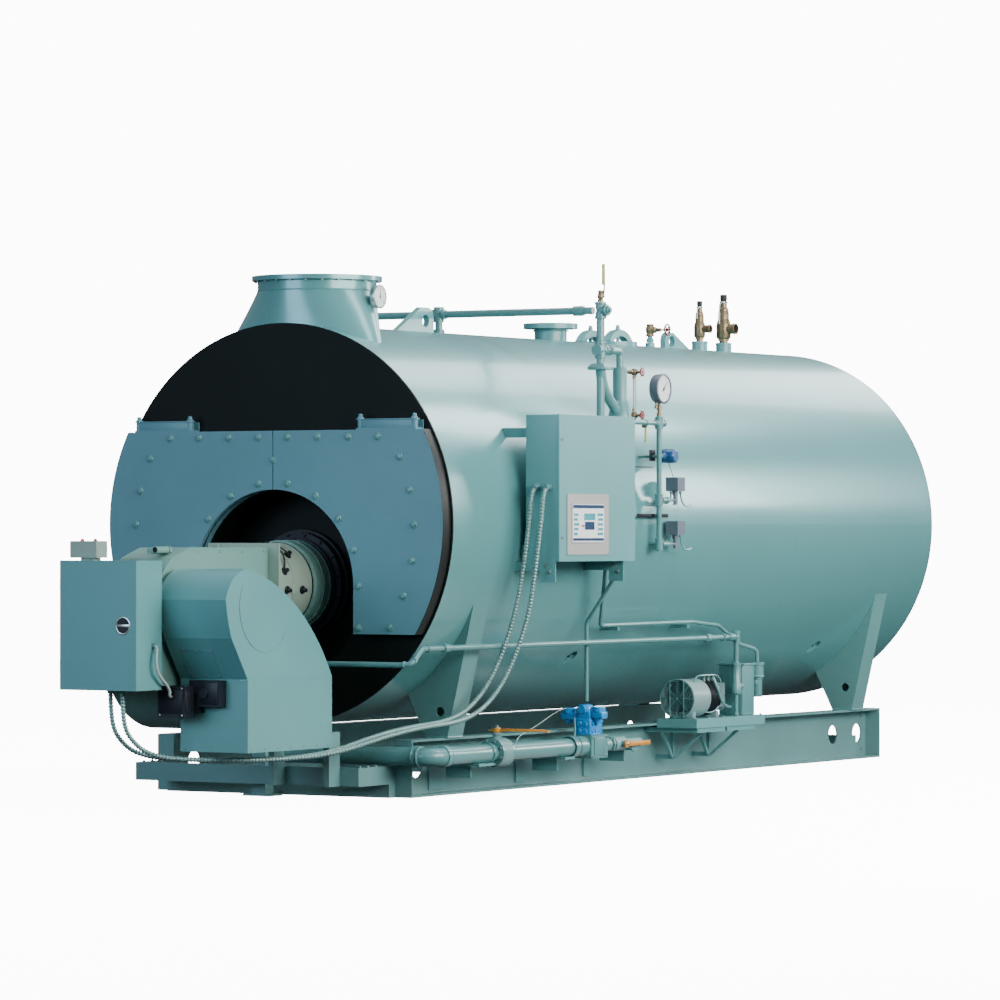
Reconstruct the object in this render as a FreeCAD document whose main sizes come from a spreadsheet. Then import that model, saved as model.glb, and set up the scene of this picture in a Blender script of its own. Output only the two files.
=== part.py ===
"""Packaged fire-tube industrial boiler on a channel skid, with its burner, controls and trim.

Millimetres.  Origin: on the ground, on the drum's centre line, in the plane of the black front
head.  +X points to the control side, +Y from the burner end to the rear head, +Z up.
"""
import FreeCAD, Part
import Sketcher
import math
import os
import re

SIZES = {
    # drum
    "jacket_r": 1250.0,
    "jacket_length": 6627.0,
    "drum_height": 1678.0,
    "lagging": 48.0,
    "shell_plate": 14.0,
    "head_plate": 14.0,
    "tubesheet_y": 560.0,
    "tubesheet_plate": 20.0,
    "seat_gap": 0.3,
    "rear_door_r": 1050.0,
    "rear_door_depth": 60.0,
    # hand holes
    "hand_hole_r": 42.0,
    "hand_hole_slot": 46.0,
    "hand_hole_angle": 43.7,
    "hand_hole_tilt": 40.0,
    "hand_hole_inset": 2010.0,
    "hand_hole_rear_inset": 1194.0,
    "hand_hole_cover": 12.0,
    # furnace front
    "burner_drop": 379.0,
    "arch_r": 593.0,
    "recess_depth": 270.0,
    "recess_plate": 12.0,
    # doors
    "door_thick": 94.0,
    "door_inset": 10.0,
    "door_rise": 578.0,
    "door_drop": 676.0,
    "door_seam": 6.0,
    "bracket_inner": 615.0,
    "bracket_outer": 1045.0,
    "bracket_height": 50.0,
    "bracket_plate": 10.0,
    "bracket_post_r": 14.0,
    "bracket_post_rise": 62.0,
    # stack
    "stack_y": 407.0,
    "stack_r": 374.0,
    "stack_wall": 8.0,
    "stack_rise": 304.0,
    "stack_neck": 92.0,
    "stack_flange_r": 410.0,
    "stack_flange": 30.0,
    "stack_base_y": 268.0,
    "stack_base_half_x": 550.0,
    "stack_base_half_y": 250.0,
    "stack_base_drop": 128.0,
    "flue_hole_margin": 60.0,
    # dial instruments
    "dial_r": 75.0,
    "dial_depth": 42.0,
    "dial_stem": 60.0,
    "gauge_r": 98.0,
    "gauge_depth": 72.0,
    # lifting lugs
    "lug_thick": 40.0,
    "lug_hole_r": 40.0,
    "front_lug_y": 1301.0,
    "front_lug_length": 464.0,
    "front_lug_rise": 161.0,
    "rear_lug_y": 4864.0,
    "rear_lug_length": 380.0,
    "rear_lug_rise": 110.0,
    # nozzles on the crest
    "nozzle_y": 3303.0,
    "nozzle_r": 110.0,
    "nozzle_bore": 101.0,
    "nozzle_flange_r": 184.0,
    "nozzle_flange": 36.0,
    "nozzle_rise": 114.0,
    "manway_y": 4033.0,
    "manway_half_x": 240.0,
    "manway_half_y": 195.0,
    "manway_wall": 32.0,
    "manway_rise": 12.0,
    "manway_cover": 22.0,
    "yoke_spacing": 218.0,
    "yoke_span_r": 200.0,
    "yoke_bar": 44.0,
    "yoke_width": 60.0,
    "yoke_rise": 96.0,
    "yoke_bolt_r": 13.0,
    "vent_valve_y": 4683.0,
    "small_relief_y": 5408.0,
    "large_relief_y": 5768.0,
    "coupling_r": 56.0,
    "coupling_rise": 64.0,
    # skid
    "web_x": 825.0,
    "web_plate": 10.0,
    "flange_width": 122.0,
    "flange_plate": 14.0,
    "beam_height": 355.0,
    "beam_front": 19.0,
    "beam_rear_inset": 239.0,
    "end_plate": 12.0,
    "web_hole_r": 67.0,
    "cross_height": 100.0,
    "cross_width": 100.0,
    "frame_reach": 394.0,
    "frame_low": 84.0,
    "frame_height": 112.0,
    "frame_bar": 50.0,
    "stand_y": 205.0,
    "stand_half_x": 50.0,
    "stand_half_y": 45.0,
    "stand_foot": 98.0,
    "stand_foot_plate": 14.0,
    # saddles
    "saddle_y": 415.0,
    "saddle_rear_inset": 710.0,
    "saddle_width": 180.0,
    "saddle_plate": 12.0,
    "saddle_foot_in": 802.0,
    "saddle_foot_out": 957.0,
    "saddle_top_x": 1160.0,
    "saddle_top_z": 1232.0,
    "saddle_low_z": 620.0,
    "saddle_low_x": 670.0,
    "saddle_hole_r": 30.0,
    # burner
    "drum_r": 257.0,
    "collar_step": 16.0,
    "scroll_half": 182.0,
    "scroll_r": 580.0,
    "scroll_z": 1025.0,
    "scroll_top": 236.0,
    "scroll_gap": 2.0,
    "joint_y": 419.0,
    "joint_half": 262.0,
    "joint_plate": 14.0,
    "motor_r": 150.0,
    "motor_length": 360.0,
    "inlet_near": 228.0,
    "inlet_far": 710.0,
    "inlet_sheet": 4.0,
    "inlet_bottom": 325.0,
    "inlet_bend": 757.0,
    "inlet_front": 1421.0,
    "inlet_back": 513.0,
    "inlet_top": 1411.0,
    "cab_left": 284.0,
    "cab_right": 265.0,
    "cab_front": 1931.0,
    "cab_back": 1667.0,
    "cab_low": 698.0,
    "cab_high": 1460.0,
    "sheet": 4.0,
    "door_sheet": 20.0,
    "hinge_gap": 0.6,
    "hinge_r": 6.0,
    "hinge_offset": 8.0,
    "hinge_length": 70.0,
    "hinge_inset": 110.0,
    # main cabinet
    "panel_standoff": 49.0,
    "panel_depth": 241.0,
    "panel_front": 793.0,
    "panel_back": 1744.0,
    "panel_low": 1446.0,
    "panel_high": 2357.0,
    "screen_plate": 6.0,
    # piping
    "gas_r": 57.0,
    "gas_x": 1150.0,
    "gas_z": 258.0,
    "gas_cross_y": 60.0,
    "branch_r": 30.0,
    "branch_bore": 25.0,
    "air_r": 17.0,
    "air_x": 1190.0,
    "air_z": 921.0,
    "conduit_r": 13.0,
    "flex_r": 15.0,
    "header_r": 24.0,
    "column_x": 1220.0,
    "column_y": 1861.0,
    "header_z": 3049.0,
    "gauge_pipe_x": 1320.0,
    "gauge_pipe_y": 2450.0,
    # compressor
    "base_in": 948.0,
    "base_out": 1250.0,
    "base_front": 3087.0,
    "base_back": 4048.0,
    "base_low": 326.0,
    "base_high": 388.0,
    "fan_r": 130.0,
}

CREST = "(drum_height + jacket_r)"
BURNER_Z = "(drum_height - burner_drop)"
BEAM_BACK = "(jacket_length - beam_rear_inset)"
PANEL_X = "(jacket_r + panel_standoff)"

doc = FreeCAD.newDocument("industrial_boiler")
sheet = doc.addObject("Spreadsheet::Sheet", "sizes")
for row, (alias, number) in enumerate(SIZES.items(), start=1):
    sheet.set(f"A{row}", alias)
    sheet.set(f"B{row}", str(number))
    sheet.setAlias(f"B{row}", alias)
doc.recompute()

WORD = re.compile(r"[a-z][a-z_]*[a-z]|[a-z]")
parts = []


def bound(expression):
    """The expression with every size's name pointing at the sheet."""
    return WORD.sub(lambda m: f"sizes.{m.group(0)}" if m.group(0) in SIZES else m.group(0),
                    str(expression))


def number(expression):
    """The present value of an expression in the sheet's names."""
    sheet.set("D1", f"={expression}")
    sheet.recompute()
    return float(sheet.get("D1"))


def bind(feature, **expressions):
    for name, expression in expressions.items():
        feature.setExpression(name, bound(expression))
    return feature


def move_to(feature, x, y, z):
    for letter, expression in zip("xyz", (x, y, z)):
        feature.setExpression(f"Placement.Base.{letter}", bound(expression))
    return feature


def keep(feature, label):
    """Marks a finished sub-part, to be written under its label."""
    feature.Label = label
    parts.append(feature)
    return feature


def box(name, x, y, z):
    """A block between pairs of expressions."""
    block = doc.addObject("Part::Box", name)
    bind(block, Length=f"({x[1]}) - ({x[0]})", Width=f"({y[1]}) - ({y[0]})",
         Height=f"({z[1]}) - ({z[0]})")
    return move_to(block, x[0], y[0], z[0])


TURNS = {
    "X": FreeCAD.Rotation(FreeCAD.Vector(0, 1, 0), 90),
    "Y": FreeCAD.Rotation(FreeCAD.Vector(1, 0, 0), -90),
    "Z": FreeCAD.Rotation(),
}


def cylinder(name, axis, radius, start, length):
    """A round bar from its start point along +X, +Y or +Z."""
    bar = doc.addObject("Part::Cylinder", name)
    bar.Placement = FreeCAD.Placement(FreeCAD.Vector(), TURNS[axis])
    bind(bar, Radius=radius, Height=length)
    return move_to(bar, *start)


def cone(name, axis, radius_low, radius_high, start, length):
    taper = doc.addObject("Part::Cone", name)
    taper.Placement = FreeCAD.Placement(FreeCAD.Vector(), TURNS[axis])
    bind(taper, Radius1=radius_low, Radius2=radius_high, Height=length)
    return move_to(taper, *start)


def fuse(name, pieces):
    joined = doc.addObject("Part::MultiFuse", name)
    joined.Shapes = pieces
    joined.Refine = True
    return joined


def cut(name, base, tools):
    """The base less its tools."""
    tool = tools[0] if len(tools) == 1 else fuse(f"{name}_tools", tools)
    less = doc.addObject("Part::Cut", name)
    less.Base = base
    less.Tool = tool
    return less


def group(name, pieces):
    """Like pieces that stay separate solids of one sub-part."""
    together = doc.addObject("Part::Compound", name)
    together.Links = pieces
    return together


def common(name, first, second):
    shared = doc.addObject("Part::Common", name)
    shared.Base = first
    shared.Tool = second
    return shared


def drum_tool(name):
    """The drum's envelope with a seating gap: whatever stands on the jacket is cut to it."""
    return cylinder(name, "Y", "jacket_r + seat_gap", ("0", "-200", "drum_height"),
                    "jacket_length + 400")


PLANES = {"XY": "XY_Plane", "XZ": "XZ_Plane", "YZ": "YZ_Plane"}


def prism(name, plane, outline, start, length):
    """A body padded from a closed outline of (x, y) or (x, y, radius) corners.

    A radius makes the edge that leaves the corner an arc bulging to the outline's right-hand
    side.  The pad runs along +Z, +Y or +X for the XY, XZ and YZ planes.
    """
    body = doc.addObject("PartDesign::Body", name)
    sketch = body.newObject("Sketcher::SketchObject", f"{name}_sketch")
    origin_plane = [f for f in body.Origin.OriginFeatures if f.Role == PLANES[plane]][0]
    sketch.AttachmentSupport = [(origin_plane, "")]
    sketch.MapMode = "FlatFace"
    corners = [FreeCAD.Vector(number(c[0]), number(c[1]), 0) for c in outline]
    count = len(corners)
    for i, corner in enumerate(outline):
        here, there = corners[i], corners[(i + 1) % count]
        if len(corner) == 3:
            sketch.addGeometry(arc_between(here, there, number(corner[2])), False)
        else:
            sketch.addGeometry(Part.LineSegment(here, there), False)
    ends = [first_end(sketch.Geometry[i], corners[i]) for i in range(count)]
    for i in range(count):
        after = (i + 1) % count
        sketch.addConstraint(Sketcher.Constraint("Coincident", i, 3 - ends[i], after, ends[after]))
    for i, corner in enumerate(outline):
        for kind, expression in (("DistanceX", corner[0]), ("DistanceY", corner[1])):
            value = number(expression)
            index = sketch.addConstraint(
                Sketcher.Constraint(kind, -1, 1, i, ends[i], value))
            sketch.setExpression(f"Constraints[{index}]", bound(expression))
        if len(corner) == 3:
            index = sketch.addConstraint(Sketcher.Constraint("Radius", i, number(corner[2])))
            sketch.setExpression(f"Constraints[{index}]", bound(corner[2]))
    pad = body.newObject("PartDesign::Pad", f"{name}_pad")
    pad.Profile = sketch
    bind(pad, Length=length)
    offset = f"-({start})" if plane == "XZ" else start
    sketch.setExpression("AttachmentOffset.Base.z", bound(offset))
    pad.Reversed = plane == "XZ"
    body.Tip = pad
    return body


def arc_between(here, there, radius):
    """The shorter arc from here to there, bulging to the right of the way."""
    chord = there - here
    half = chord.Length / 2
    rise = math.sqrt(radius * radius - half * half)
    right = FreeCAD.Vector(chord.y, -chord.x, 0).normalize()
    middle = here + chord * 0.5
    crown = middle + right * (radius - rise)
    return Part.Arc(here, crown, there)


def first_end(curve, corner):
    """1 or 2: which end of the sketch edge lies on the corner."""
    start = curve.StartPoint
    return 1 if (start - corner).Length < 1e-4 else 2


def solid_from(name, shape):
    feature = doc.addObject("Part::Feature", name)
    placement = shape.Placement
    feature.Shape = shape
    feature.Placement = placement
    return feature


def pipe(name, points, radius, bend):
    """A round bar swept along straight runs joined by tangent arcs."""
    spots = [FreeCAD.Vector(*(number(v) for v in point)) for point in points]
    size = number(radius)
    wanted = number(bend)
    edges = []
    at = spots[0]
    for i in range(1, len(spots) - 1):
        back = (spots[i - 1] - spots[i]).normalize()
        ahead = (spots[i + 1] - spots[i]).normalize()
        turn = math.pi - back.getAngle(ahead)
        shorter = min((spots[i - 1] - spots[i]).Length, (spots[i + 1] - spots[i]).Length)
        trim = min(wanted * math.tan(turn / 2), 0.45 * shorter)
        arc_r = trim / math.tan(turn / 2)
        enter = spots[i] + back * trim
        leave = spots[i] + ahead * trim
        bisector = (back + ahead).normalize()
        centre = spots[i] + bisector * (arc_r / math.cos(turn / 2))
        crown = centre - bisector * arc_r
        edges.append(Part.LineSegment(at, enter).toShape())
        edges.append(Part.Arc(enter, crown, leave).toShape())
        at = leave
    edges.append(Part.LineSegment(at, spots[-1]).toShape())
    path = Part.Wire(edges)
    ring = Part.Wire([Part.Circle(spots[0], spots[1] - spots[0], size).toShape()])
    tube = path.makePipeShell([ring], True, False)
    expected = math.pi * size * size * path.Length
    if abs(tube.Volume - expected) > 0.02 * expected:
        raise ValueError(f"{name}: swept volume {tube.Volume:.0f}, expected {expected:.0f}")
    return solid_from(name, tube)


def slot_tool(name, side, along_drum):
    """An oval prism through the jacket, square to it, below the centre line on one side."""
    half = number("hand_hole_slot") / 2
    radius = number("hand_hole_r")
    depth = number("lagging + shell_plate + 60")
    ends = [FreeCAD.Vector(0, half, 0), FreeCAD.Vector(0, -half, 0)]
    oval = Part.makeCylinder(radius, depth, ends[0]).fuse(
        [Part.makeCylinder(radius, depth, ends[1]),
         Part.makeBox(2 * radius, 2 * half, depth, FreeCAD.Vector(-radius, -half, 0))])
    oval = oval.removeSplitter()
    oval.rotate(FreeCAD.Vector(), FreeCAD.Vector(0, 0, 1), side * number("hand_hole_tilt"))
    oval.rotate(FreeCAD.Vector(), FreeCAD.Vector(0, 1, 0), 90)
    tilt = number("hand_hole_angle")
    oval.rotate(FreeCAD.Vector(), FreeCAD.Vector(0, 1, 0), tilt)
    if side < 0:
        oval.rotate(FreeCAD.Vector(), FreeCAD.Vector(0, 0, 1), 180)
    reach = number("jacket_r + 30") - depth
    angle = math.radians(tilt)
    oval.translate(FreeCAD.Vector(side * reach * math.cos(angle), number(along_drum),
                                  number("drum_height") - reach * math.sin(angle)))
    return solid_from(name, oval)


# ---------------------------------------------------------------- drum
def drum():
    flue = flue_hole("jacket_flue")
    holes = []
    for side, tag in ((1, "right"), (-1, "left")):
        holes.append(slot_tool(f"front_hand_hole_{tag}", side, "hand_hole_inset"))
        holes.append(slot_tool(f"rear_hand_hole_{tag}", side,
                               "jacket_length - hand_hole_rear_inset"))
    outer = cylinder("jacket_outer", "Y", "jacket_r", ("0", "head_plate", "drum_height"),
                     "jacket_length - 2 * head_plate")
    inner = cylinder("jacket_inner", "Y", "jacket_r - lagging", ("0", "0", "drum_height"),
                     "jacket_length")
    keep(cut("jacket", outer, [inner, flue] + holes), "lagging_jacket")

    shell_outer = cylinder("shell_outer", "Y", "jacket_r - lagging - seat_gap",
                           ("0", "head_plate", "drum_height"), "jacket_length - 2 * head_plate")
    shell_inner = cylinder("shell_inner", "Y", "jacket_r - lagging - shell_plate",
                           ("0", "0", "drum_height"), "jacket_length")
    tube = cut("shell", shell_outer, [shell_inner, flue_hole("shell_flue")])
    tubesheet = cylinder("tubesheet", "Y", "jacket_r - lagging - shell_plate / 2",
                         ("0", "tubesheet_y", "drum_height"), "tubesheet_plate")
    keep(fuse("shell_welded", [tube, tubesheet]), "pressure_shell")

    disc = cylinder("front_disc", "Y", "jacket_r", ("0", "0", "drum_height"), "head_plate")
    arch = cylinder("front_arch", "Y", "arch_r", ("0", "-1", BURNER_Z), "head_plate + 2")
    plate = cut("front_head_plate", disc, [arch])

    cup = cylinder("recess_outer", "Y", "arch_r + recess_plate", ("0", "head_plate", BURNER_Z),
                   "recess_depth")
    bore = cylinder("recess_inner", "Y", "arch_r", ("0", "head_plate - 1", BURNER_Z),
                    "recess_depth + 1 - recess_plate")
    throat = cylinder("recess_throat", "Y", "drum_r", ("0", "0", BURNER_Z), "recess_depth + 50")
    keep(fuse("front_head_welded", [plate, cut("recess", cup, [bore, throat])]), "front_head")

    keep(cylinder("rear_disc", "Y", "jacket_r", ("0", "jacket_length - head_plate", "drum_height"),
                  "head_plate"), "rear_head")
    keep(cylinder("rear_door_disc", "Y", "rear_door_r", ("0", "jacket_length", "drum_height"),
                  "rear_door_depth"), "rear_door")


def flue_hole(name):
    """The oval opening below the stack through the jacket or the shell."""
    oval = doc.addObject("Part::Ellipse", f"{name}_oval")
    bind(oval, MajorRadius="stack_base_half_x - flue_hole_margin",
         MinorRadius="stack_base_half_y - flue_hole_margin / 2")
    move_to(oval, "0", "stack_base_y", f"{CREST} - 420")
    hole = doc.addObject("Part::Extrusion", name)
    hole.Base = oval
    hole.Dir = FreeCAD.Vector(0, 0, 1)
    hole.LengthFwd = 440
    hole.Solid = True
    return hole


def hand_hole_covers():
    """Oval covers that fill the shell's side of each hand hole, each with its yoke."""
    pieces = []
    for side in (1, -1):
        for along in ("hand_hole_inset", "jacket_length - hand_hole_rear_inset"):
            pieces.append(hand_hole_cover(side, along))
    keep(solid_from("hand_covers", Part.makeCompound(pieces)), "hand_hole_covers")


def hand_hole_cover(side, along_drum):
    radius = number("hand_hole_r") - 8
    thick = number("hand_hole_cover")
    yoke = number("hand_hole_slot") / 2 + radius
    plate = Part.makeCylinder(radius, thick)
    bar = Part.makeBox(14, 2 * yoke, 10, FreeCAD.Vector(-7, -yoke, thick))
    bolt = Part.makeCylinder(7, 26, FreeCAD.Vector(0, 0, thick))
    cover = plate.fuse([bar, bolt]).removeSplitter()
    cover.rotate(FreeCAD.Vector(), FreeCAD.Vector(0, 0, 1), side * number("hand_hole_tilt"))
    tilt = number("hand_hole_angle")
    cover.rotate(FreeCAD.Vector(), FreeCAD.Vector(0, 1, 0), 90 + tilt)
    if side < 0:
        cover.rotate(FreeCAD.Vector(), FreeCAD.Vector(0, 0, 1), 180)
    reach = number("jacket_r - lagging") + 0.6
    angle = math.radians(tilt)
    cover.translate(FreeCAD.Vector(side * reach * math.cos(angle), number(along_drum),
                                   number("drum_height") - reach * math.sin(angle)))
    return cover


# ---------------------------------------------------------------- front doors
def front_doors():
    brackets = []
    for side, tag in ((1, "right"), (-1, "left")):
        disc = cylinder(f"door_disc_{tag}", "Y", "jacket_r - door_inset",
                        ("0", "-door_thick", "drum_height"), "door_thick")
        span = ("door_seam / 2", "jacket_r") if side > 0 else ("-jacket_r", "-door_seam / 2")
        half = box(f"door_half_{tag}", span, ("-door_thick", "0"),
                   ("drum_height - door_drop", "drum_height + door_rise"))
        arch = cylinder(f"door_arch_{tag}", "Y", "arch_r", ("0", "-door_thick - 1", BURNER_Z),
                        "door_thick + 2")
        below = box(f"door_below_{tag}", ("-arch_r", "arch_r"), ("-door_thick - 1", "1"),
                    ("drum_height - door_drop - 1", BURNER_Z))
        keep(cut(f"door_{tag}", common(f"door_blank_{tag}", disc, half), [arch, below]),
             f"front_door_{tag}")

        low = "drum_height + door_rise"
        near, far = "bracket_inner", "bracket_outer"
        x = (near, far) if side > 0 else (f"-{far}", f"-{near}")
        shelf = box(f"bracket_shelf_{tag}", x, ("-door_thick", "0"), (low, f"{low} + bracket_plate"))
        back = box(f"bracket_back_{tag}", x, ("-bracket_plate", "0"),
                   (low, f"{low} + bracket_height + bracket_plate"))
        posts = [cylinder(f"bracket_post_{tag}_{i}", "Z", "bracket_post_r",
                          (f"{x[i]} {'+-'[i]} 2 * bracket_post_r", "-door_thick / 2",
                           f"{low} + bracket_plate / 2"), "bracket_post_rise")
                 for i in (0, 1)]
        brackets.append(fuse(f"bracket_{tag}", [shelf, back] + posts))
    keep(group("bracket_pair", brackets), "door_brackets")


# ---------------------------------------------------------------- crest fittings
def oval_wire(centre_y, half_x, half_y, height):
    ellipse = Part.Ellipse(FreeCAD.Vector(0, centre_y, height), half_x, half_y)
    return Part.Wire([ellipse.toShape()])


def ring_wire(centre_y, radius, height):
    circle = Part.Circle(FreeCAD.Vector(0, centre_y, height), FreeCAD.Vector(0, 0, 1), radius)
    return Part.Wire([circle.toShape()])


def stack():
    """An oval-to-round transition over the smoke box, its neck and its flange."""
    top = number(f"{CREST} + stack_rise")
    neck_low = top - number("stack_neck")
    low = number(f"{CREST} - stack_base_drop")
    base_y, stack_y = number("stack_base_y"), number("stack_y")
    radius, wall = number("stack_r"), number("stack_wall")
    half_x, half_y = number("stack_base_half_x"), number("stack_base_half_y")
    skin = [oval_wire(base_y, half_x, half_y, low), ring_wire(stack_y, radius, neck_low)]
    lining = [oval_wire(base_y, half_x - wall, half_y - wall, low),
              ring_wire(stack_y, radius - wall, neck_low)]
    hood = solid_from("hood_outer", Part.makeLoft(skin, True))
    hollow = solid_from("hood_inner", Part.makeLoft(lining, True))
    neck = cylinder("neck_outer", "Z", "stack_r", ("0", "stack_y", f"{CREST} + stack_rise - stack_neck"),
                    "stack_neck")
    flange = cylinder("neck_flange", "Z", "stack_flange_r",
                      ("0", "stack_y", f"{CREST} + stack_rise - stack_flange"), "stack_flange")
    bore = cylinder("neck_bore", "Z", "stack_r - stack_wall",
                    ("0", "stack_y", f"{CREST} + stack_rise - stack_neck"), "stack_neck + 1")
    skin_form = fuse("stack_skin", [hood, neck, flange])
    body = cut("stack_body", skin_form, [hollow, bore])
    keep(cut("stack", body, [drum_tool("stack_seat")]), "stack_outlet")

    stem = cylinder("dial_stem_bar", "X", "14", ("stack_r - 20", "stack_y", f"{CREST} + 169"),
                    "dial_stem + 16")
    dial = cylinder("dial_case", "X", "dial_r", ("stack_r - 4 + dial_stem", "stack_y", f"{CREST} + 169"),
                    "dial_depth")
    keep(cut("stack_dial", fuse("dial_body", [stem, dial]), [skin_form]), "stack_thermometer")


def lug_outline(front, length, rise, sloped_front):
    """A plate lug: upright at one end, round-nosed at the top, sloping down at the other."""
    low = f"{CREST} - 60"
    top = f"{CREST} + {rise}"
    if sloped_front:
        return [(front, low), (f"{front} + {length}", low), (f"{front} + {length}", f"{top} - 70", "70"),
                (f"{front} + {length} - 70", top), (f"{front} + {length} - 150", top),
                (front, f"{CREST} - 10")]
    return [(front, low), (f"{front} + {length}", low), (f"{front} + {length}", f"{CREST} - 10"),
            (f"{front} + 120", top), (f"{front} + 60", top, "60"), (front, f"{top} - 60")]


def lifting_lugs():
    lugs = []
    for tag, front, length, rise, sloped in (
            ("front", "front_lug_y", "front_lug_length", "front_lug_rise", True),
            ("rear", "rear_lug_y", "rear_lug_length", "rear_lug_rise", False)):
        plate = prism(f"{tag}_lug_plate", "YZ", lug_outline(front, length, rise, sloped),
                      "-lug_thick / 2", "lug_thick")
        eye_y = f"{front} + {length} - 99" if sloped else f"{front} + 99"
        eye_z = f"{CREST} + {rise} - 88" if sloped else f"{CREST} + {rise} - 62"
        eye = cylinder(f"{tag}_lug_eye", "X", "lug_hole_r", ("-lug_thick", eye_y, eye_z),
                       "2 * lug_thick")
        lugs.append(cut(f"{tag}_lug", plate, [eye, drum_tool(f"{tag}_lug_seat")]))
    keep(group("lug_pair", lugs), "lifting_lugs")


def steam_nozzle():
    low = f"{CREST} - 60"
    neck = cylinder("nozzle_neck", "Z", "nozzle_r", ("0", "nozzle_y", low), "nozzle_rise + 60")
    flange = cylinder("nozzle_flange_disc", "Z", "nozzle_flange_r",
                      ("0", "nozzle_y", f"{CREST} + nozzle_rise - nozzle_flange"), "nozzle_flange")
    bore = cylinder("nozzle_bore_tool", "Z", "nozzle_bore", ("0", "nozzle_y", f"{low} - 1"),
                    "nozzle_rise + 70")
    keep(cut("nozzle", fuse("nozzle_body", [neck, flange]), [bore, drum_tool("nozzle_seat")]),
         "steam_nozzle")


def oval_block(name, half_x, half_y, low, length):
    oval = doc.addObject("Part::Ellipse", f"{name}_oval")
    bind(oval, MajorRadius=half_x, MinorRadius=half_y)
    move_to(oval, "0", "manway_y", low)
    block = doc.addObject("Part::Extrusion", name)
    block.Base = oval
    block.Dir = FreeCAD.Vector(0, 0, 1)
    block.Solid = True
    bind(block, LengthFwd=length)
    return block


def manway():
    """An oval ring on the crest, its sunk cover and the two arched yokes that hold it."""
    ring = oval_block("manway_outer", "manway_half_x", "manway_half_y", f"{CREST} - 80",
                      "80 + manway_rise")
    way = oval_block("manway_inner", "manway_half_x - manway_wall", "manway_half_y - manway_wall",
                     f"{CREST} - 90", "120 + manway_rise")
    keep(cut("manway_collar", ring, [way, drum_tool("manway_seat")]), "manway_ring")

    inset = "(manway_wall + seat_gap)"
    plate = oval_block("manway_plate", f"manway_half_x - {inset}", f"manway_half_y - {inset}",
                       f"{CREST} + manway_rise - 8 - manway_cover", "manway_cover")
    studs = [cylinder(f"manway_stud_{i}", "Z", "yoke_bolt_r",
                      (f"{sign} * yoke_spacing / 2", "manway_y", f"{CREST} + manway_rise - 12"),
                      "yoke_rise + 34 - manway_rise + 12")
             for i, sign in enumerate(("-1", "1"))]
    lid = cut("manway_lid", fuse("manway_lid_body", [plate] + studs), [drum_tool("manway_lid_seat")])
    keep(lid, "manway_cover")

    yokes = []
    for sign, tag in (("-1", "left"), ("1", "right")):
        middle = f"{sign} * yoke_spacing / 2"
        foot = f"{CREST} + manway_rise + seat_gap"
        drop = "(yoke_span_r - yoke_rise + manway_rise)"
        hoop = cylinder(f"yoke_hoop_{tag}", "X", "yoke_span_r",
                        (f"{middle} - yoke_width / 2", "manway_y", f"{foot} - {drop}"), "yoke_width")
        hole = cylinder(f"yoke_hole_{tag}", "X", "yoke_span_r - yoke_bar",
                        (f"{middle} - yoke_width", "manway_y", f"{foot} - {drop}"), "2 * yoke_width")
        low = box(f"yoke_low_{tag}", (f"{middle} - yoke_width", f"{middle} + yoke_width"),
                  ("manway_y - yoke_span_r - 5", "manway_y + yoke_span_r + 5"),
                  (f"{foot} - yoke_span_r - {drop} - 5", foot))
        stud_way = cylinder(f"yoke_way_{tag}", "Z", "yoke_bolt_r + seat_gap",
                            (middle, "manway_y", foot), "300")
        yokes.append(cut(f"yoke_{tag}", hoop, [hole, low, stud_way]))
    keep(group("yoke_pair", yokes), "manway_yokes")


def relief_valves():
    """The smaller and the larger spring relief valve, each on a coupling welded to the crest."""
    couplings = []
    for tag, along in (("small", "small_relief_y"), ("large", "large_relief_y")):
        coupling = cylinder(f"{tag}_coupling", "Z", "coupling_r", ("0", along, f"{CREST} - 40"),
                            "coupling_rise + 40")
        couplings.append(cut(f"{tag}_coupling_cut", coupling, [drum_tool(f"{tag}_seat")]))
    keep(group("coupling_pair", couplings), "relief_valve_couplings")
    keep(group("relief_pair", [relief_valve("small_relief", "small_relief_y", "40", "290", "30"),
                               relief_valve("large_relief", "large_relief_y", "52", "350", "40")]),
         "relief_valves")


def relief_valve(tag, along, body_r, height, outlet_r):
    """A spring relief valve: nipple, body, side outlet, bonnet, spindle and cap."""
    foot = f"{CREST} + coupling_rise"
    nipple = cylinder(f"{tag}_nipple", "Z", f"0.55 * {body_r}", ("0", along, foot), "40")
    body = cylinder(f"{tag}_body", "Z", body_r, ("0", along, f"{foot} + 30"), f"0.36 * {height}")
    shoulder = cone(f"{tag}_shoulder", "Z", body_r, f"0.72 * {body_r}",
                    ("0", along, f"{foot} + 30 + 0.36 * {height}"), "18")
    bonnet = cylinder(f"{tag}_bonnet", "Z", f"0.72 * {body_r}",
                      ("0", along, f"{foot} + 48 + 0.36 * {height}"), f"0.24 * {height} - 18")
    spindle = cylinder(f"{tag}_spindle", "Z", f"0.4 * {body_r}",
                       ("0", along, f"{foot} + 30 + 0.6 * {height}"), f"0.4 * {height} - 30")
    cap = cylinder(f"{tag}_cap", "Z", f"0.5 * {body_r}",
                   ("0", along, f"{foot} + 0.86 * {height}"), f"0.14 * {height}")
    outlet = cylinder(f"{tag}_outlet", "X", outlet_r, ("0", along, f"{foot} + 30 + 0.2 * {height}"),
                      f"{body_r} + 52")
    mouth = cylinder(f"{tag}_mouth", "X", f"{outlet_r} - 9",
                     (f"{body_r} + 12", along, f"{foot} + 30 + 0.2 * {height}"), "60")
    valve = fuse(f"{tag}_form", [nipple, body, shoulder, bonnet, spindle, cap, outlet])
    return cut(tag, valve, [mouth])


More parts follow.
